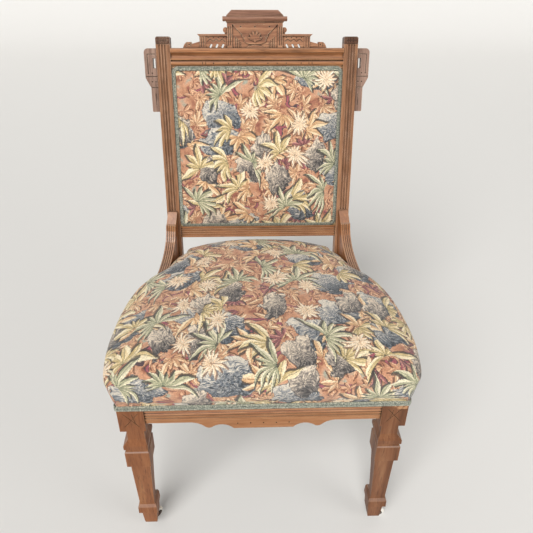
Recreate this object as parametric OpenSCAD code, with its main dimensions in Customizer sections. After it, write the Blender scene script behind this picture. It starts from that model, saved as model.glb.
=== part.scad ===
// Armless parlour side chair with a sprung seat, an upholstered back, a carved and pierced crest,
// fluted back posts with ears, reeded hip brackets, sawn front legs and porcelain casters.
// Millimetres. +X is the viewer's right, +Y runs to the back, +Z is up, the floor is Z = 0.

/* [Seat frame] */
// Width over the two front legs
seat_w = 545; // [510:1:590]
// Depth from the front of the legs to the front of the back posts
seat_d = 452; // [430:1:480]
// Height of the top edge of the seat rails
rail_top = 392; // [385:1:405]
// Height of the side and rear rails
rail_h = 55; // [50:1:60]
// Thickness of the seat rails
rail_t = 22; // [19:1:25]
// Drop of the front apron below the side rails, at its middle
apron_drop = 18; // [12:1:24]

/* [Front legs] */
// Width of the square block at the top of a front leg
leg_w = 49.2; // [46:0.2:54]
// Height of the underside of the top block
block_z = 320.5; // [312:0.5:326]
// Height of the collar's lower edge
collar_z = 273; // [268:1:280]
// Height of the lower edge of the block below the collar
knee_z = 220; // [205:1:232]
// Height of the ledge below the ankle
ankle_z = 80; // [74:1:90]
// Height of the step between ankle and foot
foot_z = 58; // [50:1:64]
// Height of a front leg's underside above the floor
caster_h = 22; // [21.5:0.5:26]

/* [Back] */
// Width over the two back posts
back_w = 439; // [420:1:460]
// Lean of the back from upright, in degrees
lean = 11.2; // [8:0.2:14]
// Height at which the posts start to lean
lean_z = 430; // [424:1:436]
// Width of a post
post_w = 30.5; // [28:0.5:34]
// Thickness of a post from front to back
post_t = 28; // [26:0.5:32]
// Length of a post above the start of the lean
post_len = 504.5; // [495:0.5:520]
// Height of the plain cap of a post
cap_h = 14.7; // [10:0.5:18]
// Setback of a rear foot behind the front of its post
leg_rake = 54; // [40:1:70]

/* [Back rails] */
// Distance of the lower back rail from the start of the lean
lower_rail_s = 49.5; // [46:0.5:56]
// Height of the lower back rail
lower_rail_h = 27.5; // [24:0.5:30]
// Distance from a post's top down to the underside of the crest rail
crest_drop = 60; // [54:0.5:66]
// Height of the crest rail
crest_h = 37; // [34:0.5:40]
// Thickness of the back rails
back_rail_t = 20; // [17:0.5:23]

/* [Crest] */
// Width of the crest's middle panel
panel_w = 120; // [110:1:128]
// Height of the crest's middle panel
panel_h = 51; // [48:0.5:56]
// Thickness of the crest's middle panel
panel_t = 20; // [17:0.5:23]
// Width of the cornice
cornice_w = 138; // [130:1:150]
// Height of the cornice's slab
slab_h = 11.5; // [9:0.5:14]
// Height of the hipped top above the slab
hip_h = 13; // [9:0.5:16]
// Half width to the outer end of a gallery
gallery_x = 122; // [118:1:126]
// Height of a gallery
gallery_h = 28; // [24:0.5:30]
// Thickness of a gallery
gallery_t = 14; // [11:0.5:16]
// Number of pierced slits in each gallery
slits = 3; // [1:1:3]
// Half width to the tip of a crest end
end_x = 157; // [152:1:166]
// Offset of the crest's upper pieces from the middle of the rail
crest_shift = -5; // [-8:0.5:4]

/* [Ears and hip brackets] */
// How far an ear stands out from its post
ear_w = 27.5; // [24:0.5:32]
// Thickness of an ear
ear_t = 18; // [14:0.5:20]
// Height of an ear
ear_h = 133.5; // [125:0.5:142]
// Distance from a post's top down to the top of its ear
ear_drop = 23.5; // [16:0.5:30]
// Width of a hip bracket
bracket_w = 22.5; // [20:0.5:25]
// Distance of a hip bracket's top from the start of the lean
bracket_s = 116; // [106:1:124]
// Distance from the legs' front to the toe of a hip bracket
toe_y = 318; // [305:1:330]
// Number of grooves in a reeded face
grooves = 4; // [2:1:5]

/* [Upholstery] */
// Height of the crown of the seat above the rails
crown_h = 113; // [95:1:125]
// Bulge of the seat in front of the rails
bulge = 27; // [18:1:32]
// Crown of the back pad in front of its panel frame
back_crown = 27; // [18:1:34]
// Thickness of the woven cover
cover_t = 1.5; // [1:0.1:2.5]
// Width of the braided gimp
gimp_w = 13; // [10:0.5:15]
// Thickness of the gimp
gimp_t = 2; // [1.5:0.1:3]
// Thickness of the webbing
web_t = 1.6; // [1.2:0.1:2]
// Width of a strip of webbing
web_w = 50; // [44:1:56]
// Height of the tops of the springs above the rails
spring_rise = 36; // [28:1:44]
// Radius of a spring's end coils
spring_r = 38; // [32:1:42]
// Radius of the spring wire
wire_r = 1.6; // [1.2:0.1:2]
// Number of turns of a spring
spring_turns = 5; // [4:1:6]

/* [Casters] */
// Radius of a caster wheel
wheel_r = 10.5; // [8:0.5:10.5]
// Width of a caster wheel
wheel_w = 8; // [6:0.5:9]
// Offset of the wheel behind the swivel
trail = 20; // [18.5:0.5:22]
// Radius of the horn's stem
stem_r = 3; // [2.5:0.1:3.5]
// Radius of the wheel's axle
axle_r = 1.5; // [1.2:0.1:2]
// Direction in which the left caster trails, in degrees from +X
left_trail = 59; // [0:1:90]
// Direction in which the right caster trails, in degrees from +X
right_trail = 8; // [0:1:90]

/* [Hidden] */

$fn = 32;
walnut = "#8a5433";
softwood = "#c9a877";
tapestry = "#b07a5c";
braid = "#6f8470";
linen = "#b89a6a";
iron = "#4a4744";
porcelain = "#f2efe8";
steel = "#9a9a9a";

big = 700;
bury = 12;
crest_s = post_len - crest_drop;
ear_top_s = post_len - ear_drop;
ear_s = ear_top_s - ear_h;
// The origin stands at the middle of the footprint
rear_reach = seat_d + (crest_s + crest_h + panel_h + slab_h) * sin(lean) + (panel_t + 2) * cos(lean);
front_y = (bulge - rear_reach) / 2;

rail_bottom = rail_top - rail_h;
splay = atan((seat_w - back_w) / 2 / (seat_d - leg_w));
post_in = back_w / 2 - post_w;
leg_in = seat_w / 2 - leg_w;
spring_top = rail_top + spring_rise;
rail_front = 3;
rail_back_y = seat_d + 4;

// Outer half width of the seat frame at a distance behind the legs' front
function side_x(y) = seat_w / 2 - max(0, y - leg_w) * tan(splay);
// Quadratic curve from p to r, drawn towards q
function curve(p, q, r, n = 6) =
    [for (i = [0:n]) let (t = i / n) (1 - t) * (1 - t) * p + 2 * t * (1 - t) * q + t * t * r];
// Point in front and above, from a distance along the post and a depth behind its front face
function on_post(s, w) = [seat_d + s * sin(lean) + w * cos(lean), lean_z + s * cos(lean) - w * sin(lean)];

module placed() translate([0, front_y, 0]) children();
module leaned() translate([0, seat_d, lean_z]) rotate([-lean, 0, 0]) children();
module crested() translate([crest_shift, 0, 0]) children();
module sided(side) {
    if (side > 0) children();
    else mirror([1, 0, 0]) children();
}
// Extrudes a profile drawn as (y, z) along X
module along_x(x0, x1) translate([x0, 0, 0]) rotate([90, 0, 90]) linear_extrude(x1 - x0) children();
// Extrudes a profile drawn as (x, z) along Y
module along_y(y0, y1) translate([0, y1, 0]) rotate([90, 0, 0]) linear_extrude(y1 - y0) children();
module box(a, b) translate(a) cube(b - a);

// Closed solid through a stack of rings, each counterclockwise seen from the last one
module ring_solid(rings) {
    n = len(rings[0]);
    m = len(rings);
    low = m * n;
    function middle(r) = [for (a = [0:2]) let (v = [for (p = r) p[a]]) (max(v) + min(v)) / 2];
    points = concat([for (r = rings) each r], [middle(rings[0]), middle(rings[m - 1])]);
    sides = [for (k = [0:m - 2]) for (i = [0:n - 1]) let (j = (i + 1) % n)
        each [[k * n + i, k * n + n + i, k * n + n + j], [k * n + i, k * n + n + j, k * n + j]]];
    caps = [for (i = [0:n - 1]) let (j = (i + 1) % n)
        each [[low, i, j], [low + 1, low - n + j, low - n + i]]];
    polyhedron(points, concat(sides, caps));
}

/* Fixings */
dowel_r = 4.5;
dowel_half = 20;
small_dowel_r = 3;
small_dowel_half = 9;
screw_r = 2.2;
screw_head_r = 4.4;
screw_head_h = 3;
screw_tip_r = 0.5;
fixing_fit = 0.1;
rail_dowel_zs = [rail_bottom + 11, rail_top - 14];
rear_dowel_z = rail_bottom + 24;
back_dowel_w = 12;

module pin_x(r, half, grow) rotate([0, 90, 0])
    cylinder(r = r + grow, h = 2 * half + 2 * grow, center = true, $fn = 24);
module pin_y(r, half, grow) rotate([90, 0, 0])
    cylinder(r = r + grow, h = 2 * half + 2 * grow, center = true, $fn = 24);
module pin_z(r, half, grow) cylinder(r = r + grow, h = 2 * half + 2 * grow, center = true, $fn = 24);
// Countersunk wood screw with its head at the origin, driven towards -Z
module screw(length, grow = 0) {
    rotate_extrude($fn = 24) polygon([[0, 0], [screw_head_r + grow, 0], [screw_r + grow, -screw_head_h],
        [screw_r + grow, -length + screw_head_h], [screw_tip_r, -length - grow], [0, -length - grow]]);
}

module frame_dowel_set(grow = 0) {
    for (side = [-1, 1]) sided(side) {
        for (z = rail_dowel_zs) {
            translate([leg_in, rail_front + rail_t / 2, z]) pin_x(dowel_r, dowel_half, grow);
            translate([side_x(leg_w) - rail_t / 2, leg_w, z]) rotate([0, 0, splay])
                pin_y(dowel_r, dowel_half, grow);
            translate([side_x(seat_d) - rail_t / 2, seat_d, z]) rotate([0, 0, splay])
                pin_y(dowel_r, dowel_half, grow);
        }
        translate([post_in, rail_back_y + rail_t / 2 - 2, rear_dowel_z]) pin_x(dowel_r, dowel_half, grow);
        leaned() {
            translate([post_in, back_dowel_w, lower_rail_s + lower_rail_h / 2])
                pin_x(dowel_r, dowel_half, grow);
            translate([post_in, back_dowel_w, crest_s + crest_h / 2]) pin_x(dowel_r, dowel_half, grow);
        }
    }
}

module carved_dowels(grow) leaned() for (side = [-1, 1]) sided(side) {
    for (s = [crest_top, panel_top]) translate([panel_w / 4, back_dowel_w, s])
        pin_z(small_dowel_r, small_dowel_half, grow);
    translate([gallery_x - 9, gallery_dowel_w, crest_top]) pin_z(small_dowel_r, small_dowel_half, grow);
}
module ear_dowels(grow) leaned() for (side = [-1, 1]) sided(side) for (s = [ear_s + 18, ear_top_s - 18])
    translate([back_w / 2, ear_front + ear_t / 2, s]) pin_x(small_dowel_r, small_dowel_half, grow);
module crest_dowel_set(grow = 0) {
    crested() carved_dowels(grow);
    ear_dowels(grow);
}

block_low = rail_bottom + 8;
block_h = 28;
corner_screw_zs = [block_low + 12, block_low + 24];
module corner_screw_set(grow = 0) for (side = [-1, 1]) sided(side) for (z = corner_screw_zs) {
    translate([front_screw.x, front_screw.y, z]) rotate([0, 90, atan2(-front_face.x, front_face.y)])
        screw_along(grow);
    translate([rear_screw.x, rear_screw.y, z]) rotate([0, 90, atan2(rear_face.x, -rear_face.y)])
        screw_along(grow);
}
// The screw's head faces the middle of the seat
module screw_along(grow) rotate([0, 180, 0]) screw(corner_screw_l, grow);

bracket_screw_l = 52;
module bracket_screw_set(grow = 0) for (side = [-1, 1]) sided(side) {
    translate([side_x(toe_y + 34) - rail_t / 2, toe_y + 34, rail_bottom]) rotate([180, 0, 0])
        screw(rail_h + 23, grow);
    translate([back_w / 2 - bracket_w / 2 - 1, 0, 0]) leaned()
        translate([0, post_t, 34]) rotate([-90, 0, 0]) screw(bracket_screw_l, grow);
}

panel_screw_l = 42;
module panel_screw_set(grow = 0) leaned() for (side = [-1, 1]) sided(side)
    for (s = [panel_s + 60, panel_s + panel_span - 60])
        translate([post_in - stile_w, panel_front + stile_t / 2, s]) rotate([0, -90, 0])
            screw(panel_screw_l, grow);

/* Back posts */
flute_r = 1.9;
flute_depth = 2.1;
flute_pitch = 6;
flute_shift = 1.5;
flute_top = post_len - cap_h - 1.5;
cap_bevel = 2.6;
post_turn_z = rail_bottom - 13;
rear_foot_t = 26;
// Width and depth of the lines that are cut into the wood
line_w = 1.6;
line_depth = 1.4;

module post_profile() polygon(concat(
    [on_post(post_len, 0), on_post(0, 0), [seat_d, post_turn_z]],
    curve([seat_d, post_turn_z], [seat_d + 3, post_turn_z * 0.58], [seat_d + leg_rake, 0], 10),
    curve([seat_d + leg_rake + rear_foot_t, 0], [seat_d + post_t + 4, post_turn_z * 0.6],
        [seat_d + post_t, post_turn_z + 10], 10),
    [on_post(0, post_t) + [0.5, 0], on_post(8, post_t), on_post(post_len, post_t)]));

// Takes off a top edge that runs along Y
module edge_cut(c, l) rotate([90, 0, 0]) linear_extrude(l, center = true)
    polygon([[-c - 1, 1], [1, 1], [1, -c - 1]]);
module post() color(walnut) difference() {
    along_x(post_in, back_w / 2) post_profile();
    frame_dowel_set(fixing_fit);
    ear_dowels(fixing_fit);
    bracket_screw_set(fixing_fit);
    panel_screw_set(fixing_fit);
    leaned() {
        for (i = [-1:1]) translate([back_w / 2 - post_w / 2 + flute_shift + i * flute_pitch,
            flute_depth - flute_r, bracket_s + 2])
            cylinder(r = flute_r, h = flute_top - bracket_s - 2, $fn = 20);
        // Sunk band and chip-cut lines of the cap
        box([post_in - 1, -1, flute_top + 0.6], [back_w / 2 + 1, line_depth, flute_top + 2.4]);
        for (x = [-8, -2.5, 3]) box([back_w / 2 - post_w / 2 + x, -1, flute_top + 5],
            [back_w / 2 - post_w / 2 + x + line_w, line_depth, post_len + 1]);
        box([post_in + 3, -1, flute_top + 8], [back_w / 2 - 3, line_depth, flute_top + 8 + line_w]);
        translate([back_w / 2 - post_w / 2, post_t / 2, post_len]) for (a = [0, 180]) {
            rotate([0, 0, a]) translate([post_w / 2, 0, 0]) edge_cut(cap_bevel, post_t + 2);
            rotate([0, 0, a + 90]) translate([post_t / 2, 0, 0]) edge_cut(cap_bevel - 0.5, post_w + 2);
        }
    }
}
module left_post() placed() sided(-1) post();
module right_post() placed() sided(1) post();

/* Back rails */
crest_top = crest_s + crest_h;
lip_out = 4;
// Bead at the bottom, a fillet, a wide cove and a rounded lip, drawn as depth and height
module crest_profile() polygon(concat(
    [[back_rail_t + 2, crest_s], [3, crest_s], [3, crest_s + 1.5]],
    [for (a = [-80:20:80]) [3.2 - 4.2 * cos(a), crest_s + 6 + 4.3 * sin(a)]],
    [[3.6, crest_s + 11], [3.6, crest_s + 12.4], [1, crest_s + 12.8], [1, crest_s + 15.5]],
    curve([1.6, crest_s + 16], [8.5, crest_s + 21.5], [-1, crest_s + 27.5], 8),
    [[-lip_out, crest_s + 28.2]],
    curve([-lip_out, crest_top - 4], [-lip_out, crest_top], [1, crest_top], 5),
    [[back_rail_t + 2, crest_top]]));

tick_xs = [113, 120];
tick_dots = [23, 43, 63, 96];
module crest_rail() color(walnut) placed() difference() {
    leaned() along_x(-post_in, post_in) crest_profile();
    frame_dowel_set(fixing_fit);
    crested() carved_dowels(fixing_fit);
    leaned() for (side = [-1, 1]) {
        for (x = tick_xs) box([side * x - line_w / 2, -2, crest_s + 1],
            [side * x + line_w / 2, 1, crest_s + 11]);
        for (x = tick_dots) translate([side * x, 0, crest_s + 6]) pin_y(1.4, 1.5, 0);
    }
}

lower_rail_front = 3;
module lower_back_rail() color(walnut) placed() difference() {
    leaned() box([-post_in, lower_rail_front, lower_rail_s],
        [post_in, lower_rail_front + back_rail_t, lower_rail_s + lower_rail_h]);
    frame_dowel_set(fixing_fit);
    leaned() for (i = [1:grooves]) translate([0, lower_rail_front - 0.5,
        lower_rail_s + i * lower_rail_h / (grooves + 1)]) pin_x(2, post_in + 1, 0);
}

/* Crest panel, cornice, galleries and ends */
panel_top = crest_top + panel_h;
cornice_top = panel_top + slab_h + hip_h;
pilaster_w = 11;
bowl_x = 48;
waist_x = 25;
leaf_l = 20;
dot_x = 31;
// Right edge of the bowl from its rim to its bottom, above the foot of the panel
bowl_side = concat([[bowl_x, panel_h - 4], [waist_x + 9, 31]],
    curve([waist_x + 9, 31], [waist_x + 1, 24], [waist_x - 1, 14], 4),
    curve([waist_x - 1, 14], [waist_x - 4, 7.5], [0, 7], 5));

// Pointed leaf from two arcs, its stem at the origin and its tip up
module leaf(length, width) {
    r = (length * length + width * width) / (4 * width);
    intersection() {
        translate([r - width / 2, length / 2]) circle(r);
        translate([width / 2 - r, length / 2]) circle(r);
    }
}

module crest_panel() color(walnut) placed() crested() difference() {
    leaned() {
        box([-panel_w / 2, 4, crest_top], [panel_w / 2, panel_t + 2, panel_top]);
        for (side = [-1, 1]) sided(side) {
            along_y(1, 5) polygon([[panel_w / 2 - pilaster_w, crest_top], [panel_w / 2, crest_top],
                [panel_w / 2, panel_top], [panel_w / 2 - pilaster_w, panel_top]]);
            // Scroll on the outer edge
            along_y(5, 5 + gallery_t) {
                translate([panel_w / 2 + 3.5, crest_top + gallery_h + 8]) circle(5.6);
                translate([panel_w / 2 - 2, crest_top + gallery_h]) square([7.5, 4]);
            }
        }
        along_y(1, 5) polygon([[-panel_w / 2, panel_top], [panel_w / 2, panel_top],
            [panel_w / 2, panel_top - 4], [-panel_w / 2, panel_top - 4]]);
        // Raised bowl with flaring sides, and a mound under it
        along_y(1.2, 5) translate([0, crest_top]) polygon(concat(bowl_side,
            [for (i = [len(bowl_side) - 1:-1:0]) [-bowl_side[i].x, bowl_side[i].y]]));
        along_y(2, 5) polygon(concat(
            curve([-20, crest_top], [-14, crest_top + 5.5], [0, crest_top + 6], 4),
            curve([0, crest_top + 6], [14, crest_top + 5.5], [20, crest_top], 4)));
        // Fan of leaves in the bowl
        for (a = [-64, -38, -13, 13, 38, 64]) along_y(-1.4, 2) translate([0, crest_top + 14])
            rotate(-a) translate([0, 2]) leaf(leaf_l - abs(a) / 16, 5);
        along_y(-1.8, 2) translate([0, crest_top + 15]) circle(3);
    }
    carved_dowels(fixing_fit);
    leaned() {
        for (x = [-dot_x, 0, dot_x]) translate([x, 1, panel_top - 8.5]) pin_y(1.6, 2, 0);
        for (side = [-1, 1]) sided(side) {
            // Line cut along the bowl's flare, crossing lines beside it, and lines down the pilasters
            translate([(bowl_x + waist_x) / 2 + 1, 1.5, panel_top - 16]) rotate([0, 46, 0])
                cube([line_w, 3, 28], center = true);
            for (x = [26, 31]) for (a = [-42, 42]) translate([x, 1.2, crest_top + 19]) rotate([0, a, 0])
                cube([1.1, 2, 11], center = true);
            for (x = [3, 7]) box([panel_w / 2 - x - line_w / 2, 0, crest_top + 5],
                [panel_w / 2 - x + line_w / 2, 1 + line_depth, panel_top - 8]);
            for (i = [0:3]) box([waist_x + 5 + i * 3.6, 3, crest_top - 1],
                [waist_x + 5 + i * 3.6 + line_w, 5.4, crest_top + 12 + i * 3.4]);
        }
    }
}

cornice_out = 5;
hip_in = 11;
module crest_cornice() color(walnut) placed() crested() difference() {
    leaned() {
        box([-cornice_w / 2 + 7, -1, panel_top], [cornice_w / 2 - 7, panel_t + 2, panel_top + 2.5]);
        along_x(-cornice_w / 2, cornice_w / 2) polygon(concat(
            [[panel_t + 2, panel_top + 2.5], [-cornice_out + 2, panel_top + 2.5]],
            curve([-cornice_out, panel_top + 4.5], [-cornice_out - 2, panel_top + slab_h / 2 + 2],
                [-cornice_out, panel_top + slab_h - 1.5], 5),
            [[-cornice_out + 2, panel_top + slab_h], [panel_t + 2, panel_top + slab_h]]));
        intersection() {
            along_y(-cornice_out, panel_t + 2) polygon([[-cornice_w / 2 + 8, panel_top + slab_h],
                [cornice_w / 2 - 8, panel_top + slab_h], [cornice_w / 2 - 8, panel_top + slab_h + 2],
                [cornice_w / 2 - 8 - hip_in, cornice_top], [-cornice_w / 2 + 8 + hip_in, cornice_top],
                [-cornice_w / 2 + 8, panel_top + slab_h + 2]]);
            along_x(-cornice_w, cornice_w) polygon([[0, panel_top + slab_h], [0, panel_top + slab_h + 2],
                [hip_in * 0.7, cornice_top], [panel_t - 4, cornice_top],
                [panel_t + 1, panel_top + slab_h + 2], [panel_t + 1, panel_top + slab_h]]);
        }
    }
    carved_dowels(fixing_fit);
}

gallery_front = 5;
gallery_dowel_w = gallery_front + gallery_t / 2;
slit_s = 4;
module gallery() color(walnut) difference() {
    leaned() difference() {
        union() {
            along_y(gallery_front, gallery_front + gallery_t) polygon([[panel_w / 2, crest_top],
                [gallery_x - 2, crest_top], [gallery_x - 2, crest_top + gallery_h - 5],
                [gallery_x + 2, crest_top + gallery_h], [panel_w / 2, crest_top + gallery_h]]);
            // Cornice strip and end pilaster
            along_y(gallery_front - 3, gallery_front) polygon([[panel_w / 2, crest_top + gallery_h - 4],
                [gallery_x - 1, crest_top + gallery_h - 4], [gallery_x + 3, crest_top + gallery_h],
                [panel_w / 2, crest_top + gallery_h]]);
            box([gallery_x - 15, gallery_front - 1.5, crest_top],
                [gallery_x - 3, gallery_front, crest_top + gallery_h - 4]);
        }
        // Slanted slits, right through
        for (i = [0:slits - 1]) translate([panel_w / 2 + 10 + i * 13, gallery_front + gallery_t / 2,
            crest_top + slit_s]) rotate([0, -28, 0]) cube([4.2, gallery_t + 9, 7.8], center = true);
        // Row of punched dots, and a zigzag line above the slits
        for (i = [0:3]) translate([panel_w / 2 + 8 + i * 11, gallery_front, crest_top + gallery_h - 7])
            pin_y(1.3, 1.6, 0);
        for (i = [0:5]) translate([panel_w / 2 + 8 + i * 6.4, gallery_front, crest_top + gallery_h - 12.5])
            rotate([0, i % 2 == 0 ? 50 : -50, 0]) cube([1.4, 2.8, 8.6], center = true);
        for (x = [6, 11]) box([gallery_x - x - line_w / 2, gallery_front - 2, crest_top + 2],
            [gallery_x - x + line_w / 2, gallery_front - 1.5 + line_depth, crest_top + gallery_h - 6]);
    }
    carved_dowels(fixing_fit);
}
module left_gallery() placed() crested() sided(-1) gallery();
module right_gallery() placed() crested() sided(1) gallery();

knob_x = 137.5;
knob_w = 10.5;
knob_h = 12.2;
module crest_end() color(walnut) leaned() difference() {
    along_y(gallery_front + 1, gallery_front + gallery_t - 2) polygon(concat(
        [[gallery_x - 2, crest_top], [end_x, crest_top]],
        curve([end_x - 1, crest_top + 1], [end_x - 3, crest_top + knob_h - 3],
            [knob_x + knob_w, crest_top + knob_h], 5),
        [[knob_x + 1, crest_top + knob_h], [knob_x, crest_top + knob_h - 1], [knob_x, crest_top + 8.5],
            [gallery_x - 2, crest_top + 13]]));
    translate([knob_x + knob_w / 2, gallery_front + 1, crest_top + 7]) pin_y(1.4, 1.6, 0);
    for (x = [1.6, knob_w]) box([knob_x + x - 0.7, gallery_front, crest_top + 3],
        [knob_x + x + 0.7, gallery_front + 2.2, crest_top + knob_h + 1]);
}
module left_crest_end() placed() crested() sided(-1) crest_end();
module right_crest_end() placed() crested() sided(1) crest_end();

/* Ears */
ear_front = 5;
ear_bevel_s = ear_s + 51.5;
ear_step_s = ear_s + 72.5;
ear_bar_w = ear_w - 11;
slot_s = ear_top_s - 41;
slot_h = 21;
slot_w = 6;
module ear_outline() {
    r = 9;
    polygon(concat([[0, ear_s], [ear_bar_w - 1, ear_s], [ear_bar_w, ear_s + 2],
        [ear_bar_w, ear_bevel_s], [ear_w, ear_step_s]],
        [for (a = [0:15:90]) [ear_w - r + r * cos(a), ear_top_s - r + r * sin(a)]], [[0, ear_top_s]]));
}
module ear() color(walnut) difference() {
    leaned() difference() {
        along_y(ear_front, ear_front + ear_t) translate([back_w / 2, 0]) ear_outline();
        box([back_w / 2 + 3.5, ear_front - 1, slot_s], [back_w / 2 + 3.5 + slot_w, big, slot_s + slot_h]);
        // Incised lines
        box([back_w / 2 + 4, ear_front - 1, ear_top_s - 11 - line_w],
            [back_w / 2 + ear_w - 6, ear_front + line_depth, ear_top_s - 11]);
        box([back_w / 2 + ear_w - 6 - line_w, ear_front - 1, ear_step_s + 12],
            [back_w / 2 + ear_w - 6, ear_front + line_depth, ear_top_s - 11]);
        for (s = [ear_step_s + 2, ear_bevel_s]) box([back_w / 2 - 1, ear_front - 1, s],
            [back_w / 2 + ear_w, ear_front + line_depth, s + line_w]);
        box([back_w / 2 + 6, ear_front - 1, ear_s + 14],
            [back_w / 2 + 6 + line_w, ear_front + line_depth, ear_bevel_s - 12]);
        for (x = [5, 13]) translate([back_w / 2 + x, ear_front, ear_step_s - 8]) pin_y(1.4, 1.6, 0);
        for (x = [12, 20.5]) translate([back_w / 2 + x, ear_front, ear_step_s + 10]) pin_y(1.4, 1.6, 0);
    }
    ear_dowels(fixing_fit);
}
module left_ear() placed() sided(-1) ear();
module right_ear() placed() sided(1) ear();

/* Hip brackets */
reed_depth = 1.6;
ledge = on_post(bracket_s - 25, -19);
hip_low = [toe_y + 17, rail_top + 60];
function hip_outline(d) = concat(
    [[toe_y + d, rail_top]],
    curve([toe_y + d, rail_top + 2], [toe_y + d, hip_low.y - 4 - d], hip_low + [d, -d], 5),
    curve(hip_low + [d, -d], [ledge.x - 18 + d, hip_low.y + 9 - d], ledge + [-6 + d, -2], 9));
function hip_back() = [ledge, on_post(bracket_s - 3, -5), on_post(bracket_s, -3), on_post(bracket_s, bury),
    [seat_d + bury, rail_top]];

// Reeds stand between narrow grooves on the front face
groove_w = 1.5;
reed_w = (bracket_w - grooves * groove_w) / (grooves + 1);
module hip_bracket() color(walnut) difference() {
    translate([side_x(seat_d), seat_d, 0]) rotate([0, 0, splay]) translate([-side_x(seat_d), -seat_d, 0])
        union() {
            along_x(back_w / 2 - bracket_w, back_w / 2)
                polygon(concat(hip_outline(reed_depth), hip_back()));
            for (i = [0:grooves]) along_x(back_w / 2 - bracket_w + i * (reed_w + groove_w),
                back_w / 2 - bracket_w + i * (reed_w + groove_w) + reed_w)
                polygon(concat(hip_outline(0), hip_back()));
        }
    along_x(0, big) polygon([[seat_d, 0], on_post(0, 0), on_post(post_len, 0), on_post(post_len, big),
        [seat_d + big, 0]]);
    bracket_screw_set(fixing_fit);
}
module left_hip_bracket() placed() sided(-1) hip_bracket();
module right_hip_bracket() placed() sided(1) hip_bracket();

/* Seat rails */
reed_zs = [19.5, 26.5, 33.5, 40.5];
apron_t = 9;
apron_set = 1.5;
dot_pitch = 24.5;
dots = 5;
land_h = 15;

// Bottom edge of the apron, from its end to the flat middle, on the right half
function apron_edge() = let (b = rail_bottom, d = apron_drop) concat(
    curve([138, b], [124, b - 1], [115, b - 0.5 * d], 5),
    curve([115, b - 0.5 * d], [105, b - 1.15 * d], [96, b - 0.66 * d], 5),
    curve([96, b - 0.66 * d], [88, b - 0.34 * d], [77, b - 0.38 * d], 4),
    curve([77, b - 0.38 * d], [65, b - 0.46 * d], [57, b - d], 4));

module front_rail() color(walnut) placed() difference() {
    union() {
        box([-leg_in, rail_front + apron_t, rail_bottom], [leg_in, rail_front + rail_t, rail_top]);
        box([-leg_in, rail_front, rail_bottom + 8], [leg_in, rail_front + apron_t, rail_top]);
        box([-leg_in, 0, rail_top - land_h], [leg_in, rail_front, rail_top]);
        along_y(rail_front + apron_set, rail_front + apron_t) polygon(concat(
            [[leg_in, rail_top], [leg_in, rail_bottom]], apron_edge(),
            [for (i = [len(apron_edge()) - 1:-1:0]) [-apron_edge()[i].x, apron_edge()[i].y]],
            [[-leg_in, rail_bottom], [-leg_in, rail_top]]));
    }
    for (z = reed_zs) translate([0, rail_front, rail_top - z]) pin_x(1.8, leg_in + 1, 0);
    for (i = [0:dots - 1]) translate([(i - (dots - 1) / 2) * dot_pitch, rail_front + apron_set,
        rail_bottom - 4.5]) pin_y(1.5, 1.8, 0);
    frame_dowel_set(fixing_fit);
}

side_t = rail_t / cos(splay);
module side_rail() color(walnut) difference() {
    translate([0, 0, rail_bottom]) linear_extrude(rail_h) polygon([[side_x(leg_w), leg_w],
        [side_x(seat_d), seat_d], [side_x(seat_d) - side_t, seat_d], [side_x(leg_w) - side_t, leg_w]]);
    frame_dowel_set(fixing_fit);
    corner_screw_set(fixing_fit);
    bracket_screw_set(fixing_fit);
}
module left_side_rail() placed() sided(-1) side_rail();
module right_side_rail() placed() sided(1) side_rail();

module rear_rail() color(walnut) placed() difference() {
    box([-post_in, rail_back_y, rail_bottom], [post_in, rail_back_y + rail_t, rail_top]);
    frame_dowel_set(fixing_fit);
}

/* Front legs */
x_out = seat_w / 2;
neck_z = block_z - 22;
collar_h = 10;
ankle_h = 5;
// Front view of the leg, as distance out from the middle of the chair and height
module leg_front() polygon([[x_out, rail_top], [x_out, block_z], [x_out - 12, block_z],
    [x_out - 12, neck_z], [x_out - 1.5, collar_z + collar_h], [x_out - 1.5, collar_z],
    [x_out - 4, collar_z - 2], [x_out - 4, collar_z - 9], [x_out - 1.5, collar_z - 11],
    [x_out - 1.5, knee_z], [x_out - 8, knee_z - 1.5], [x_out - 9.5, ankle_z + 9],
    [x_out - 5.5, ankle_z], [x_out - 5, foot_z + 3], [x_out - 7, foot_z],
    [x_out - 11.5, foot_z - 2], [x_out - 13.5, caster_h + 4], [x_out - 15, caster_h],
    [leg_in + 9.5, caster_h], [leg_in + 8.5, caster_h + 4], [leg_in + 7, foot_z - 2],
    [leg_in + 5, foot_z], [leg_in + 4.5, foot_z + 3], [leg_in + 5, ankle_z],
    [leg_in + 9, ankle_z + 9], [leg_in + 3, knee_z - 1.5], [leg_in + 0.5, knee_z],
    [leg_in + 0.5, collar_z - 11], [leg_in + 2.5, collar_z - 9], [leg_in + 2.5, collar_z - 2],
    [leg_in + 0.5, collar_z], [leg_in + 0.5, collar_z + collar_h], [leg_in + 4, neck_z],
    [leg_in + 4, block_z], [leg_in, block_z], [leg_in, rail_top]]);
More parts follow.
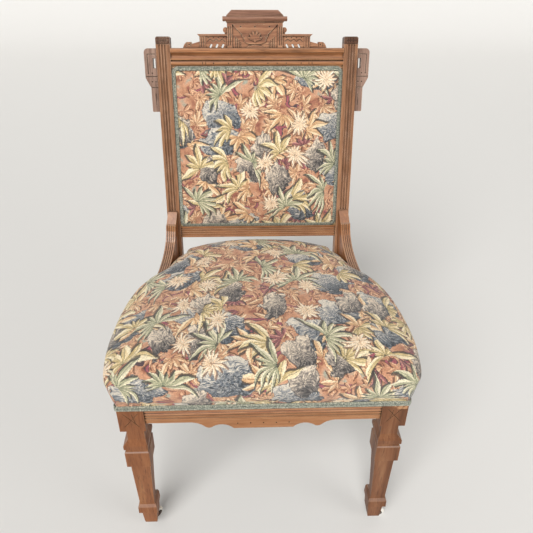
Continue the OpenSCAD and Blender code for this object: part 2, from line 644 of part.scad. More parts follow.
// Side view of the leg, as distance behind the block's front and height
module leg_side() polygon(concat([[0, rail_top], [0, neck_z], [-4.5, collar_z + collar_h],
    [-4.5, collar_z], [-1.5, collar_z - 2], [-1.5, collar_z - 9], [-4, collar_z - 11],
    [-4, knee_z + 2], [0, knee_z - 1.5], [5.5, ankle_z + ankle_h], [1, ankle_z - 1],
    [0.5, foot_z + 3], [3.5, foot_z - 1], [4.5, caster_h], [leg_w - 10, caster_h],
    [leg_w - 9, foot_z - 1], [leg_w - 7, foot_z + 3], [leg_w - 8.5, ankle_z + 5],
    [leg_w - 23, ankle_z + 8]],
    curve([leg_w - 24, ankle_z + 16], [leg_w - 21, knee_z - 55], [leg_w - 12, knee_z - 4], 5),
    [[leg_w - 3, knee_z], [leg_w - 2, collar_z - 11]],
    [for (a = [-70:20:90]) [leg_w - 9 + 12.5 * cos(a), collar_z + 4 + 12.5 * sin(a)]],
    curve([leg_w - 10, neck_z - 6], [leg_w - 10, neck_z + 12], [leg_w, neck_z + 16], 4),
    [[leg_w, rail_top]]));

caster_x = (x_out - 15 + leg_in + 9.5) / 2;
caster_y = 21.5;
socket_r = 5;
socket_l = 30;
flange_r = 9.5;
flange_h = 1.8;
module front_leg() color(walnut) difference() {
    intersection() {
        along_y(-10, leg_w + 10) leg_front();
        along_x(0, big) leg_side();
    }
    frame_dowel_set(fixing_fit);
    corner_screw_set(fixing_fit);
    translate([caster_x, caster_y, caster_h - 1]) cylinder(r = socket_r, h = socket_l + 1, $fn = 32);
    // Crossing lines and a leaf cut into the block
    for (a = [-38, 38]) translate([x_out - leg_w / 2, 0, block_z + 30]) rotate([0, a, 0])
        cube([1, 1.8, 44], center = true);
    translate([x_out - leg_w / 2 - 5, 0, block_z + 33]) rotate([0, 12, 0])
        cube([1, 1.8, 26], center = true);
    // Eye cut into the lobe behind the collar
    translate([leg_in, leg_w - 9, collar_z + 4]) pin_x(3, 1.5, 0);
}
module left_front_leg() placed() sided(-1) front_leg();
module right_front_leg() placed() sided(1) front_leg();

/* Corner blocks */
block_leg = 42;
corner_screw_l = 34;
front_in_y = rail_front + rail_t;
function inner_x(y) = side_x(y) - side_t;
front_start = [leg_in - block_leg, front_in_y];
front_face = [inner_x(leg_w + block_leg), leg_w + block_leg] - front_start;
front_screw = front_start + 0.6 * front_face;
rear_start = [post_in - block_leg, rail_back_y];
rear_face = [inner_x(seat_d - block_leg), seat_d - block_leg] - rear_start;
rear_screw = rear_start + 0.75 * rear_face;
module corner_blocks() color(softwood) placed() difference() {
    for (side = [-1, 1]) sided(side) translate([0, 0, block_low]) linear_extrude(block_h) {
        polygon([[leg_in - block_leg, front_in_y], [leg_in, front_in_y], [leg_in, leg_w],
            [inner_x(leg_w), leg_w], [inner_x(leg_w + block_leg), leg_w + block_leg]]);
        polygon([[inner_x(seat_d - block_leg), seat_d - block_leg], [inner_x(seat_d), seat_d],
            [post_in, seat_d], [post_in, rail_back_y], [post_in - block_leg, rail_back_y]]);
    }
    corner_screw_set(fixing_fit);
}
module corner_screws() color(steel) placed() corner_screw_set();
module bracket_screws() color(steel) placed() bracket_screw_set();
module panel_screws() color(steel) placed() panel_screw_set();
module frame_dowels() color(softwood) placed() frame_dowel_set();
module crest_dowels() color(softwood) placed() crest_dowel_set();

/* Panel frame inside the back upholstery */
stile_w = 32;
stile_t = 15;
panel_front = 6;
panel_s = lower_rail_s + lower_rail_h;
panel_span = crest_s - panel_s;
module panel_stile() color(softwood) difference() {
    leaned() box([post_in - stile_w, panel_front, panel_s],
        [post_in, panel_front + stile_t, panel_s + panel_span]);
    panel_screw_set(fixing_fit);
}
module left_panel_stile() placed() sided(-1) panel_stile();
module right_panel_stile() placed() sided(1) panel_stile();
module panel_rail(s) color(softwood) placed() leaned()
    box([-post_in + stile_w, panel_front, s], [post_in - stile_w, panel_front + stile_t, s + stile_w]);
module top_panel_rail() panel_rail(panel_s + panel_span - stile_w);
module bottom_panel_rail() panel_rail(panel_s);

/* Back upholstery */
back_strips = 4;
web_inset = 12;
hessian_t = 1.2;
pad_base = panel_front - web_t * 2 - hessian_t;
module back_webbing() color(linen) placed() leaned() {
    gap = (2 * post_in - 2 * web_inset) / back_strips;
    for (i = [0:back_strips - 1]) translate([-post_in + web_inset + (i + 0.5) * gap, 0, 0])
        box([-web_w / 2, panel_front - web_t, panel_s + web_inset],
            [web_w / 2, panel_front, panel_s + panel_span - web_inset]);
    rise = (panel_span - 2 * web_inset) / back_strips;
    for (i = [0:back_strips - 1]) translate([0, 0, panel_s + web_inset + (i + 0.5) * rise])
        box([-post_in + web_inset, panel_front - 2 * web_t, -web_w / 2],
            [post_in - web_inset, panel_front - web_t, web_w / 2]);
}
back_hessian_in = 15;
module back_hessian() color(linen) placed() leaned()
    box([-post_in + back_hessian_in, pad_base, panel_s + back_hessian_in],
        [post_in - back_hessian_in, pad_base + hessian_t, panel_s + panel_span - back_hessian_in]);

// Rounded rectangle as a ring of points, counterclockwise
function round_rect(hx, hz, r, n = 3, m = 4) = concat(
    [for (i = [0:m - 1]) [hx, -hz + r + (2 * hz - 2 * r) * i / m]],
    [for (i = [0:n - 1]) [hx - r + r * cos(i * 90 / n), hz - r + r * sin(i * 90 / n)]],
    [for (i = [0:m - 1]) [hx - r - (2 * hx - 2 * r) * i / m, hz]],
    [for (i = [0:n - 1]) [-hx + r - r * sin(i * 90 / n), hz - r + r * cos(i * 90 / n)]],
    [for (i = [0:m - 1]) [-hx, hz - r - (2 * hz - 2 * r) * i / m]],
    [for (i = [0:n - 1]) [-hx + r - r * cos(i * 90 / n), -hz + r - r * sin(i * 90 / n)]],
    [for (i = [0:m - 1]) [-hx + r + (2 * hx - 2 * r) * i / m, -hz]],
    [for (i = [0:n - 1]) [hx - r + r * sin(i * 90 / n), -hz + r - r * cos(i * 90 / n)]]);
// Inset from the pad's edge, and share of the crown there
pad_rings = [[9, 0.18], [11, 0.34], [19, 0.5], [38, 0.68], [66, 0.84], [102, 0.94], [140, 0.99]];
function pad_ring(inset, w) = let (hx = post_in - 1 - inset, hz = panel_span / 2 - 1 - inset,
    r = min(max(6, inset * 0.85), 0.8 * min(hx, hz)))
    [for (p = round_rect(hx, hz, r)) [p.x, w, p.y + panel_s + panel_span / 2]];
module pad_solid(skin, sides) ring_solid(concat([for (w = sides) pad_ring(skin + 9, w)],
    [for (k = pad_rings) pad_ring(k[0] + skin, skin + panel_front - 4 - back_crown * k[1])]));

module back_stuffing() color(linen) placed() leaned() pad_solid(cover_t, [pad_base]);
module back_cover() color(tapestry) placed() leaned() {
    difference() {
        pad_solid(0, [panel_front, panel_front - 2]);
        pad_solid(cover_t, [panel_front + 1, panel_front - 2]);
    }
    // Flat margin of the cover, tacked to the panel frame under the gimp
    difference() {
        box([-post_in, panel_front - cover_t, panel_s],
            [post_in, panel_front, panel_s + panel_span]);
        box([-post_in + 10, 0, panel_s + 10], [post_in - 10, big, panel_s + panel_span - 10]);
    }
}
back_gimp_w = 9;
module back_gimp() color(braid) placed() leaned() difference() {
    box([-post_in, panel_front - cover_t - gimp_t, panel_s],
        [post_in, panel_front - cover_t, panel_s + panel_span]);
    box([-post_in + back_gimp_w, 0, panel_s + back_gimp_w],
        [post_in - back_gimp_w, big, panel_s + panel_span - back_gimp_w]);
}
module outside_back_cover() color(tapestry) placed() leaned()
    box([-post_in, panel_front + stile_t, panel_s],
        [post_in, panel_front + stile_t + cover_t, panel_s + panel_span]);

/* Seat upholstery */
// Plan of the wooden frame
module frame_plan() polygon([[-x_out, 0], [x_out, 0], [x_out, leg_w], [side_x(seat_d), seat_d],
    [side_x(seat_d), seat_d + post_t], [-side_x(seat_d), seat_d + post_t], [-side_x(seat_d), seat_d],
    [-x_out, leg_w]]);

long_strips = 4;
cross_strips = 4;
strip_gap = 82;
module seat_webbing_long() color(linen) placed() for (i = [0:long_strips - 1])
    translate([(i - (long_strips - 1) / 2) * strip_gap, 0, rail_bottom - web_t])
        box([-web_w / 2, rail_front + apron_t + 2, 0], [web_w / 2, rail_back_y + rail_t - 3, web_t]);
module seat_webbing_cross() color(linen) placed() for (i = [0:cross_strips - 1]) {
    y = 100 + i * strip_gap;
    reach = side_x(y + web_w / 2) - 3;
    step = (long_strips - 1) / 2 * strip_gap + web_w / 2 + 2;
    translate([0, y, 0]) along_y(-web_w / 2, web_w / 2) polygon([[-reach, rail_bottom],
        [-reach, rail_bottom - web_t], [-step - 4, rail_bottom - web_t], [-step, rail_bottom - 2 * web_t],
        [step, rail_bottom - 2 * web_t], [step + 4, rail_bottom - web_t], [reach, rail_bottom - web_t],
        [reach, rail_bottom], [step + 2.5, rail_bottom], [step - 1.5, rail_bottom - web_t],
        [-step + 1.5, rail_bottom - web_t], [-step - 2.5, rail_bottom]]);
}

spring_waist = 25;
spring_base = rail_bottom;
spring_places = [[-110, 150], [110, 150], [0, 235], [-95, 330], [95, 330]];
rings_per_turn = 8;
spring_rings = spring_turns * rings_per_turn;
function coil_r(t) = spring_waist + (spring_r - spring_waist) * pow(abs(2 * t - 1), 1.6);
// The end turns lie nearly flat
function coil_rise(t) = let (e = 0.07) t < 0.2 ? e * t / 0.2 :
    t > 0.8 ? 1 - e * (1 - t) / 0.2 : e + (1 - 2 * e) * (t - 0.2) / 0.6;
function coil_mid(k) = let (t = k / spring_rings, a = 360 * k / rings_per_turn,
    h = spring_top - spring_base - 2 * wire_r)
    [coil_r(t) * cos(a), coil_r(t) * sin(a), wire_r + h * coil_rise(t)];
function coil_ring(k) = let (c = coil_mid(k), a = 360 * k / rings_per_turn)
    [for (j = [0:5]) let (f = 60 * j + 30)
        c + wire_r * (cos(f) * [cos(a), sin(a), 0] - sin(f) * [0, 0, 1])];
// Least distance between turns, less the wire
coil_gap = min([for (k = [0:spring_rings - rings_per_turn])
    norm(coil_mid(k + rings_per_turn) - coil_mid(k))]) - 2 * wire_r;
echo(coil_gap = coil_gap);
module seat_springs() color(steel) placed() for (p = spring_places)
    translate([p.x, p.y, spring_base]) ring_solid([for (k = [0:spring_rings]) coil_ring(k)]);

hessian_in = 44;
hessian_margin = 10;
module inset_plan(d) polygon([for (p = whole_edge) let (q = foot_point(p, 0, d)) [q.x, q.y]]);
module seat_hessian() color(linen) placed() difference() {
    union() {
        translate([0, 0, rail_top]) linear_extrude(spring_rise + hessian_t) inset_plan(hessian_in);
        translate([0, 0, rail_top]) linear_extrude(hessian_t) inset_plan(hessian_margin);
    }
    translate([0, 0, rail_top - 1]) linear_extrude(spring_rise + 1) inset_plan(hessian_in + hessian_t);
    reliefs(0.3 + cover_t);
}

// Edge of the seat on the right half: place at the rails, swell of the pad out there, and slack of the
// stuffing towards the back corners
function side_point(share, inset, swell, slack) = [side_x(share * seat_d) - inset, share * seat_d, swell,
    slack];
half_edge = [[0, 0, bulge, 0], [seat_w * 0.26, 0, bulge, 0], [x_out - 26, 0, bulge - 2, 0],
    [x_out - 3, 3, bulge - 8, 0.01], [x_out, 40, bulge + 3, 0], side_point(0.24, 0, bulge + 16, 0),
    side_point(0.42, 0, bulge + 18, 0), side_point(0.58, 0, bulge + 9, 0.01),
    side_point(0.7, 0, 13, 0.03), side_point(0.8, 12, 2, 0.05), [post_in + 14, seat_d - 44, 0, 0.06],
    [post_in + 1, seat_d - 12, 0, 0.09], [post_in - 2, seat_d + 14, 1, 0.1],
    [post_in - 10, rail_back_y + rail_t, 2, 0.1], [post_in * 0.5, rail_back_y + rail_t, 3, 0.02],
    [0, rail_back_y + rail_t, 3, 0]];
pad_mid = [0, seat_d * 0.55];
whole_edge = let (n = len(half_edge)) concat(half_edge,
    [for (i = [n - 2:-1:1]) let (p = half_edge[i]) [-p.x, p.y, p[2], p[3]]]);
// One point of a level, given its share of the swell, its share of the way to the middle and its
// share of the crown's height
function level_point(p, v, skin) = let (out = [p.x, p.y] - pad_mid, q = pad_mid + out
    * (1 + (p[2] * v[0] - skin) / norm(out)) * (1 - v[1]) * (1 - p[3] * v[2]))
    [q.x, q.y, rail_top - skin + crown_h * pow(v[2], 1 + 3 * p[3])];
seat_levels = [[0.32, 0, 0.13], [0.66, 0, 0.29], [0.92, 0, 0.42], [0.94, 0.01, 0.53], [0.66, 0.065, 0.66],
    [0.2, 0.17, 0.8], [0, 0.33, 0.9], [0, 0.56, 0.97], [0, 0.8, 1]];
function foot_point(p, z, skin) = let (out = [p.x, p.y] - pad_mid, q = pad_mid + out
    * (1 - skin / norm(out))) [q.x, q.y, z];
module seat_solid(skin, low) ring_solid(concat(
    [for (z = [low, rail_top + 1]) [for (p = whole_edge) foot_point(p, z, skin - cover_t)]],
    [for (v = seat_levels) [for (p = whole_edge) level_point(p, v, skin)]]));
// Room for the hip brackets and the posts
module reliefs(fit) for (side = [-1, 1]) sided(side) {
    translate([side_x(seat_d), seat_d, 0]) rotate([0, 0, splay])
        translate([-bracket_w - fit, toe_y - seat_d - fit, 0]) cube([bracket_w + 60, seat_d, big]);
    box([post_in - fit, seat_d - fit, 0], [big, seat_d + big, big]);
}
cover_drop = 13;
module seat_stuffing() color(linen) placed() difference() {
    seat_solid(cover_t, rail_top);
    translate([0, 0, rail_top - 1]) linear_extrude(spring_rise + hessian_t + 1) inset_plan(hessian_in);
    translate([0, 0, rail_top - 1]) linear_extrude(hessian_t + 1) inset_plan(hessian_margin);
    reliefs(0.3 + cover_t);
}
module seat_cover() color(tapestry) placed() difference() {
    seat_solid(0, rail_top - cover_drop);
    difference() {
        seat_solid(cover_t, rail_top - cover_drop - 1);
        reliefs(0.3 + cover_t);
    }
    linear_extrude(rail_top) frame_plan();
    reliefs(0.3);
}
gimp_in = cover_t + 0.03;
module seat_gimp() color(braid) placed() translate([0, 0, rail_top - cover_drop - 1]) difference() {
    linear_extrude(gimp_w) polygon([[-side_x(toe_y) - cover_t - gimp_t, toe_y - 2],
        [-x_out - cover_t - gimp_t, leg_w], [-x_out - cover_t - gimp_t, -cover_t - gimp_t],
        [x_out + cover_t + gimp_t, -cover_t - gimp_t], [x_out + cover_t + gimp_t, leg_w],
        [side_x(toe_y) + cover_t + gimp_t, toe_y - 2]]);
    translate([0, 0, -1]) linear_extrude(gimp_w + 2) polygon([[-side_x(toe_y) - gimp_in, toe_y],
        [-x_out - gimp_in, leg_w], [-x_out - gimp_in, -gimp_in], [x_out + gimp_in, -gimp_in],
        [x_out + gimp_in, leg_w], [side_x(toe_y) + gimp_in, toe_y]]);
}

dust_t = 0.8;
dust_low = rail_bottom - 2 * web_t - dust_t;
dust_in = 4;
module dust_plan() polygon([[-leg_in, rail_front + apron_t + 2], [leg_in, rail_front + apron_t + 2],
    [leg_in, leg_w + dust_in], [side_x(leg_w) - dust_in, leg_w + dust_in],
    [side_x(seat_d) - dust_in, seat_d - dust_in], [post_in - 1, seat_d - dust_in],
    [post_in - 1, rail_back_y + rail_t - dust_in], [1 - post_in, rail_back_y + rail_t - dust_in],
    [1 - post_in, seat_d - dust_in], [dust_in - side_x(seat_d), seat_d - dust_in],
    [dust_in - side_x(leg_w), leg_w + dust_in], [-leg_in, leg_w + dust_in]]);
module dust_cover() color("#2c2a28") placed() translate([0, 0, dust_low])
    linear_extrude(dust_t) dust_plan();

/* Casters, built with the swivel axis at the origin and the wheel behind it along +X */
socket_fit = 0.05;
axle_fit = 0.02;
crown_r = 10.5;
crown_low_r = 8.5;
bell_h = 7;
crown_top = caster_h - flange_h - 0.3;
arm_t = 1.8;
arm_gap = 0.3;
arm_y = wheel_w / 2 + arm_gap;
stem_l = socket_l - 3;

module caster_socket() color(iron) difference() {
    union() {
        translate([0, 0, caster_h - flange_h]) cylinder(r = flange_r, h = flange_h, $fn = 32);
        translate([0, 0, caster_h - flange_h]) cylinder(r = socket_r, h = socket_l + flange_h, $fn = 32);
    }
    translate([0, 0, caster_h - flange_h - 1]) cylinder(r = stem_r + socket_fit, h = socket_l, $fn = 32);
}
module fork_outline() {
    polygon(concat([[0, crown_top], [0, crown_top - bell_h - 1], [3, crown_top - bell_h - 3.5]],
        curve([4, crown_top - bell_h - 4], [trail - 6, wheel_r - 6], [trail, wheel_r - 3.4], 5),
        curve([trail + 3.4, wheel_r], [trail + 3, wheel_r + 7], [crown_r - 2, crown_top], 5)));
    translate([trail, wheel_r]) circle(3.4);
}
module caster_horn() color(iron) difference() {
    union() {
        translate([0, 0, crown_top]) cylinder(r = stem_r, h = stem_l, $fn = 32);
        translate([0, 0, crown_top - bell_h])
            cylinder(r1 = crown_low_r, r2 = crown_r, h = bell_h, $fn = 32);
        for (side = [-1, 1]) translate([0, side * (arm_y + arm_t / 2), 0])
            along_y(-arm_t / 2, arm_t / 2) fork_outline();
    }
    translate([trail, 0, wheel_r]) rotate([90, 0, 0])
        cylinder(r = axle_r + axle_fit, h = 40, center = true, $fn = 24);
    // Room for the wheel in the crown
    translate([trail, 0, wheel_r]) rotate([90, 0, 0])
        cylinder(r = wheel_r + 1, h = 2 * arm_y, center = true, $fn = 48);
}
module caster_axle() color(steel) translate([trail, 0, wheel_r]) rotate([90, 0, 0])
    cylinder(r = axle_r, h = 2 * (arm_y + arm_t), center = true, $fn = 24);
module caster_wheel() color(porcelain) translate([trail, 0, wheel_r]) rotate([90, 0, 0])
    rotate_extrude($fn = 48) polygon(concat(
        [[axle_r + socket_fit, -wheel_w / 2], [wheel_r - 3, -wheel_w / 2]],
        curve([wheel_r - 1.6, -wheel_w / 2 + 0.6], [wheel_r + 1.6, 0],
            [wheel_r - 1.6, wheel_w / 2 - 0.6], 6),
        [[wheel_r - 3, wheel_w / 2], [axle_r + socket_fit, wheel_w / 2]]));

module left_caster() placed() translate([-caster_x, caster_y, 0]) rotate([0, 0, left_trail]) children();
module right_caster() placed() translate([caster_x, caster_y, 0]) rotate([0, 0, right_trail]) children();
module left_caster_socket() left_caster() caster_socket();
module left_caster_horn() left_caster() caster_horn();
module left_caster_axle() left_caster() caster_axle();
module left_caster_wheel() left_caster() caster_wheel();
module right_caster_socket() right_caster() caster_socket();
module right_caster_horn() right_caster() caster_horn();
module right_caster_axle() right_caster() caster_axle();
module right_caster_wheel() right_caster() caster_wheel();

left_post();
right_post();
crest_rail();
crest_panel();
crest_cornice();
left_gallery();
right_gallery();
left_crest_end();
right_crest_end();
left_ear();
right_ear();
lower_back_rail();
left_hip_bracket();
right_hip_bracket();
front_rail();
left_side_rail();
right_side_rail();
rear_rail();
left_front_leg();
right_front_leg();
corner_blocks();
corner_screws();
bracket_screws();
frame_dowels();
crest_dowels();
left_panel_stile();
right_panel_stile();
top_panel_rail();
bottom_panel_rail();
panel_screws();
back_webbing();
back_hessian();
back_stuffing();
back_cover();
back_gimp();
outside_back_cover();
seat_webbing_long();
seat_webbing_cross();
seat_springs();
seat_hessian();
seat_stuffing();
seat_cover();
seat_gimp();
dust_cover();
left_caster_socket();
left_caster_horn();
left_caster_axle();
left_caster_wheel();
right_caster_socket();
right_caster_horn();
right_caster_axle();
right_caster_wheel();
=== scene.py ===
from functools import partial
from math import atan, cos, exp, pi, radians, sin, tan, tau

import bmesh
import bpy
import numpy as np
from mathutils import Matrix, Vector, noise


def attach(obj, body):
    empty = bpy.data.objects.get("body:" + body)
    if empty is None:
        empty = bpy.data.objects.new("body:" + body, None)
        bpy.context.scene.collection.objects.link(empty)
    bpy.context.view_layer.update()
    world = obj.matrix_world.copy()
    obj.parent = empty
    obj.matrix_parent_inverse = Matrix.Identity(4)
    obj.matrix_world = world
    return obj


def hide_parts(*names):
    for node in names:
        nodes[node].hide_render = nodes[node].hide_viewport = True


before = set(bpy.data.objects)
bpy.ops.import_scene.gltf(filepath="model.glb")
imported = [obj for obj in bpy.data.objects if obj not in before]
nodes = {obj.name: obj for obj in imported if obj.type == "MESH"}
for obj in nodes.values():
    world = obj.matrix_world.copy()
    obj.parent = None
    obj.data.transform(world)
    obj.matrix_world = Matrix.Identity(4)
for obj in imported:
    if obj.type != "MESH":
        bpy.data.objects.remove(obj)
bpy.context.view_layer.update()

scene = bpy.context.scene
mm = 0.001


def toLinear(code):
    # sRGB hex to linear red, green, blue and alpha
    parts = [int(code[i:i + 2], 16) / 255 for i in (1, 3, 5)]
    return tuple(c / 12.92 if c < 0.04045 else ((c + 0.055) / 1.055) ** 2.4 for c in parts) + (1,)


def setInputs(tree, sockets, values):
    # Links sockets to what drives them, or sets them to plain numbers, vectors or hex colours
    for key, value in values.items():
        if isinstance(value, bpy.types.NodeSocket):
            tree.links.new(value, sockets[key])
        else:
            sockets[key].default_value = toLinear(value) if isinstance(value, str) else value


# The inputs that plain values go to, in a row, and the output, where these aren't the first ones
socketOrder = {"FLOAT": ((0, 2, 3), 0), "RGBA": ((0, 6, 7), 2), "SCALE": ((0, 3), 0),
               "DOT_PRODUCT": ((0, 1), 1), "LENGTH": ((0,), 1)}


def addNode(tree, kind, *values, out=None, stops=None, **more):
    # Adds one shader node with its links, and gives back one of its outputs. The kind may end in what the
    # node does, as in Mix.RGBA, and for a Math node that is all of it, as in SINE. Names in more that start
    # with a capital are inputs, the others settings
    kind, _, work = ("Math." + kind if kind.isupper() else kind).partition(".")
    node = tree.nodes.new("ShaderNode" + kind)
    if work:
        setattr(node, "data_type" if kind == "Mix" else "operation", work)
    order, result = socketOrder.get(work, (range(len(values)), 0))
    inputs = dict(zip(order, values))
    for key, value in more.items():
        if key[0].isupper():
            inputs[key] = value
        else:
            setattr(node, key, value)
    setInputs(tree, node.inputs, inputs)
    if stops:
        ramp = node.color_ramp
        while len(ramp.elements) < len(stops):
            ramp.elements.new(0.5)
        for element, (place, colour) in zip(ramp.elements, stops):
            element.position = place
            element.color = toLinear(colour)
    return node.outputs[result if out is None else out] if node.outputs else node


def newMaterial(name):
    # A material, the call that adds a node to it, and the call that sets its shader
    material = bpy.data.materials.new(name)
    material.use_nodes = True
    tree = material.node_tree
    sockets = tree.nodes["Principled BSDF"].inputs
    return material, partial(addNode, tree), partial(setInputs, tree, sockets)


# Sizes of the frame in millimetres, the same as the solids'
chair = dict(
    seatWidth=545, seatDepth=452, railTop=392, railHeight=55, railThickness=22,
    legWidth=49.2, backWidth=439, lean=11.2, leanStart=430, postWidth=30.5,
    lowerRail=49.5, lowerRailHeight=27.5, crestRail=444.5,
    panelFront=6, stileThickness=15, coverThickness=1.5, coverDrop=13,
    toe=318, bracketWidth=22.5, postLength=504.5, capHeight=14.7, frontShift=-276.12,
)
halfWidth = chair["seatWidth"] / 2
postIn = chair["backWidth"] / 2 - chair["postWidth"]
legIn = halfWidth - chair["legWidth"]
railTop = chair["railTop"]
railBottom = railTop - chair["railHeight"]
seatDepth = chair["seatDepth"]
seatBack = seatDepth + 4 + chair["railThickness"]
splay = atan((chair["seatWidth"] - chair["backWidth"]) / 2 / (seatDepth - chair["legWidth"]))
leanAngle = radians(chair["lean"])
alongBack = Vector((0, sin(leanAngle), cos(leanAngle)))
panelLow = chair["lowerRail"] + chair["lowerRailHeight"]
panelSpan = chair["crestRail"] - panelLow
panelFront = chair["panelFront"]


def sideX(y):
    # Half width of the seat frame at a distance behind the legs' front
    return halfWidth - max(0, y - chair["legWidth"]) * tan(splay)


def seatPoint(x, y, z):
    return Vector((x, y + chair["frontShift"], z)) * mm


def backPoint(x, depth, up):
    # A point of the leaning back, from its depth behind the posts' front and its way up the posts
    return seatPoint(x, seatDepth + up * sin(leanAngle) + depth * cos(leanAngle),
                     chair["leanStart"] + up * cos(leanAngle) - depth * sin(leanAngle))


def smoothLine(points, steps, closed=False):
    # Even curve through rows of numbers, with steps points to a span
    rows = np.array(points, float)
    count = len(rows)
    line = []
    for i in range(count if closed else count - 1):
        pick = [(i + k) % count if closed else min(max(i + k, 0), count - 1) for k in (-1, 0, 1, 2)]
        a, b, c, d = rows[pick]
        for t in np.arange(steps) / steps:
            line.append(0.5 * (2 * b + (c - a) * t + (2 * a - 5 * b + 4 * c - d) * t ** 2
                               + (3 * b - a - 3 * c + d) * t ** 3))
    return np.array(line if closed else line + [rows[-1]])


def unitRows(rows):
    # Rows of numbers as directions of length one
    return rows / np.linalg.norm(rows, axis=1, keepdims=True)


def newPiece(name, points, faces, material, slot, uvs=None):
    # A piece from its points and faces, in one finish
    mesh = bpy.data.meshes.new(name)
    mesh.from_pydata([tuple(p) for p in points], [], [tuple(int(i) for i in f) for f in faces],
                     shade_flat=False)
    if uvs is not None:
        layer = mesh.uv_layers.new(name="clothMap")
        for loop in mesh.loops:
            layer.data[loop.index].uv = uvs[loop.vertex_index]
    mesh.materials.append(material)
    shell = bmesh.new()
    shell.from_mesh(mesh)
    bmesh.ops.recalc_face_normals(shell, faces=shell.faces)
    shell.to_mesh(mesh)
    shell.free()
    piece = bpy.data.objects.new(name, mesh)
    scene.collection.objects.link(piece)
    return piece


def ringFaces(rings, count, first=0, closed=True):
    # Quads between rows of count points
    faces = []
    for k in range(rings - 1):
        for i in range(count if closed else count - 1):
            a, b = first + k * count + i, first + k * count + (i + 1) % count
            faces.append((a, b, b + count, a + count))
    return faces


print("camera and light")
cameraFit = dict(place=(-0.022857, -0.990211, 1.152059), pitch=0.574, turn=-0.0366, roll=0.0073,
                 lens=37.13)
pitch, turn, roll = cameraFit["pitch"], cameraFit["turn"], cameraFit["roll"]
ahead = Vector((-sin(turn) * cos(pitch), cos(turn) * cos(pitch), -sin(pitch)))
level = Vector((cos(turn), sin(turn), 0))
above = level.cross(ahead)
rightward = level * cos(roll) + above * sin(roll)
upward = above * cos(roll) - level * sin(roll)
camera = bpy.data.objects.new("camera", bpy.data.cameras.new("camera"))
camera.data.lens = cameraFit["lens"]
camera.data.sensor_width = 36
camera.matrix_world = Matrix.Translation(cameraFit["place"]) @ Matrix(
    (rightward, upward, -ahead)).transposed().to_4x4()
scene.collection.objects.link(camera)
scene.camera = camera
scene.view_settings.view_transform = "Standard"

# A wide soft daylight from the front left, and one weaker lamp at the right: place, width and power
studio = dict(floor="#dddbd7", backdrop="#dad8d5", fill=0.25, daylight=(-0.9, -2.15, 2.35),
              daylightWidth=40, daylightPower=3.1, sideLamp=((1.9, -1.5, 1.4), 1.4, 12))


def placeLight(light, place):
    # Hangs a light at a place and turns it to the middle of the chair
    hung = bpy.data.objects.new(light.name, light)
    hung.location = place
    hung.rotation_euler = (Vector((0, 0, 0.45)) - Vector(place)).to_track_quat("-Z", "Y").to_euler()
    scene.collection.objects.link(hung)


daylight = bpy.data.lights.new("daylight", "SUN")
daylight.angle = radians(studio["daylightWidth"])
daylight.energy = studio["daylightPower"]
placeLight(daylight, studio["daylight"])
sideLamp = bpy.data.lights.new("sideLamp", "AREA")
sideLamp.shape = "DISK"
place, sideLamp.size, sideLamp.energy = studio["sideLamp"]
placeLight(sideLamp, place)

world = bpy.data.worlds.new("studioWorld")
scene.world = world
world.use_nodes = True
world.node_tree.nodes.clear()
add = partial(addNode, world.node_tree)
rays = add("LightPath").node.outputs
seen = add("MAXIMUM", rays["Is Camera Ray"], rays["Is Glossy Ray"])
seen = add("MAXIMUM", seen, rays["Is Transmission Ray"])
ambient = add("Background", Color="#ffffff", Strength=studio["fill"])
pale = add("Background", Color=studio["backdrop"], Strength=1.0)
add("OutputWorld", Surface=add("MixShader", seen, ambient, pale))

# The floor runs up behind the chair in a wide sweep: its radius, start and ends, in metres
sweepRadius, sweepStart, floorStart, sweepTop, floorSide = 2.5, 4.5, -8, 7, 18
sweep = [(floorStart, 0), (sweepStart, 0)] + [
    (sweepStart + sweepRadius * sin(a), sweepRadius - sweepRadius * cos(a))
    for a in np.linspace(0.1, pi / 2, 14)] + [(sweepStart + sweepRadius, sweepTop)]
floorMesh = bpy.data.meshes.new("floor")
floorMesh.from_pydata([(x, y, z) for y, z in sweep for x in (-floorSide, floorSide)], [],
                      [(2 * i, 2 * i + 1, 2 * i + 3, 2 * i + 2) for i in range(len(sweep) - 1)],
                      shade_flat=False)
floor = bpy.data.objects.new("floor", floorMesh)
scene.collection.objects.link(floor)
material, add, shade = newMaterial("matt studio floor paint")
shade({"Base Color": studio["floor"], "Roughness": 0.9})
floorMesh.materials.append(material)

print("wood and metal finishes")


def dress(finish, members):
    # Gives solids a finish
    for member in members:
        nodes[member].data.materials.clear()
        nodes[member].data.materials.append(finish)


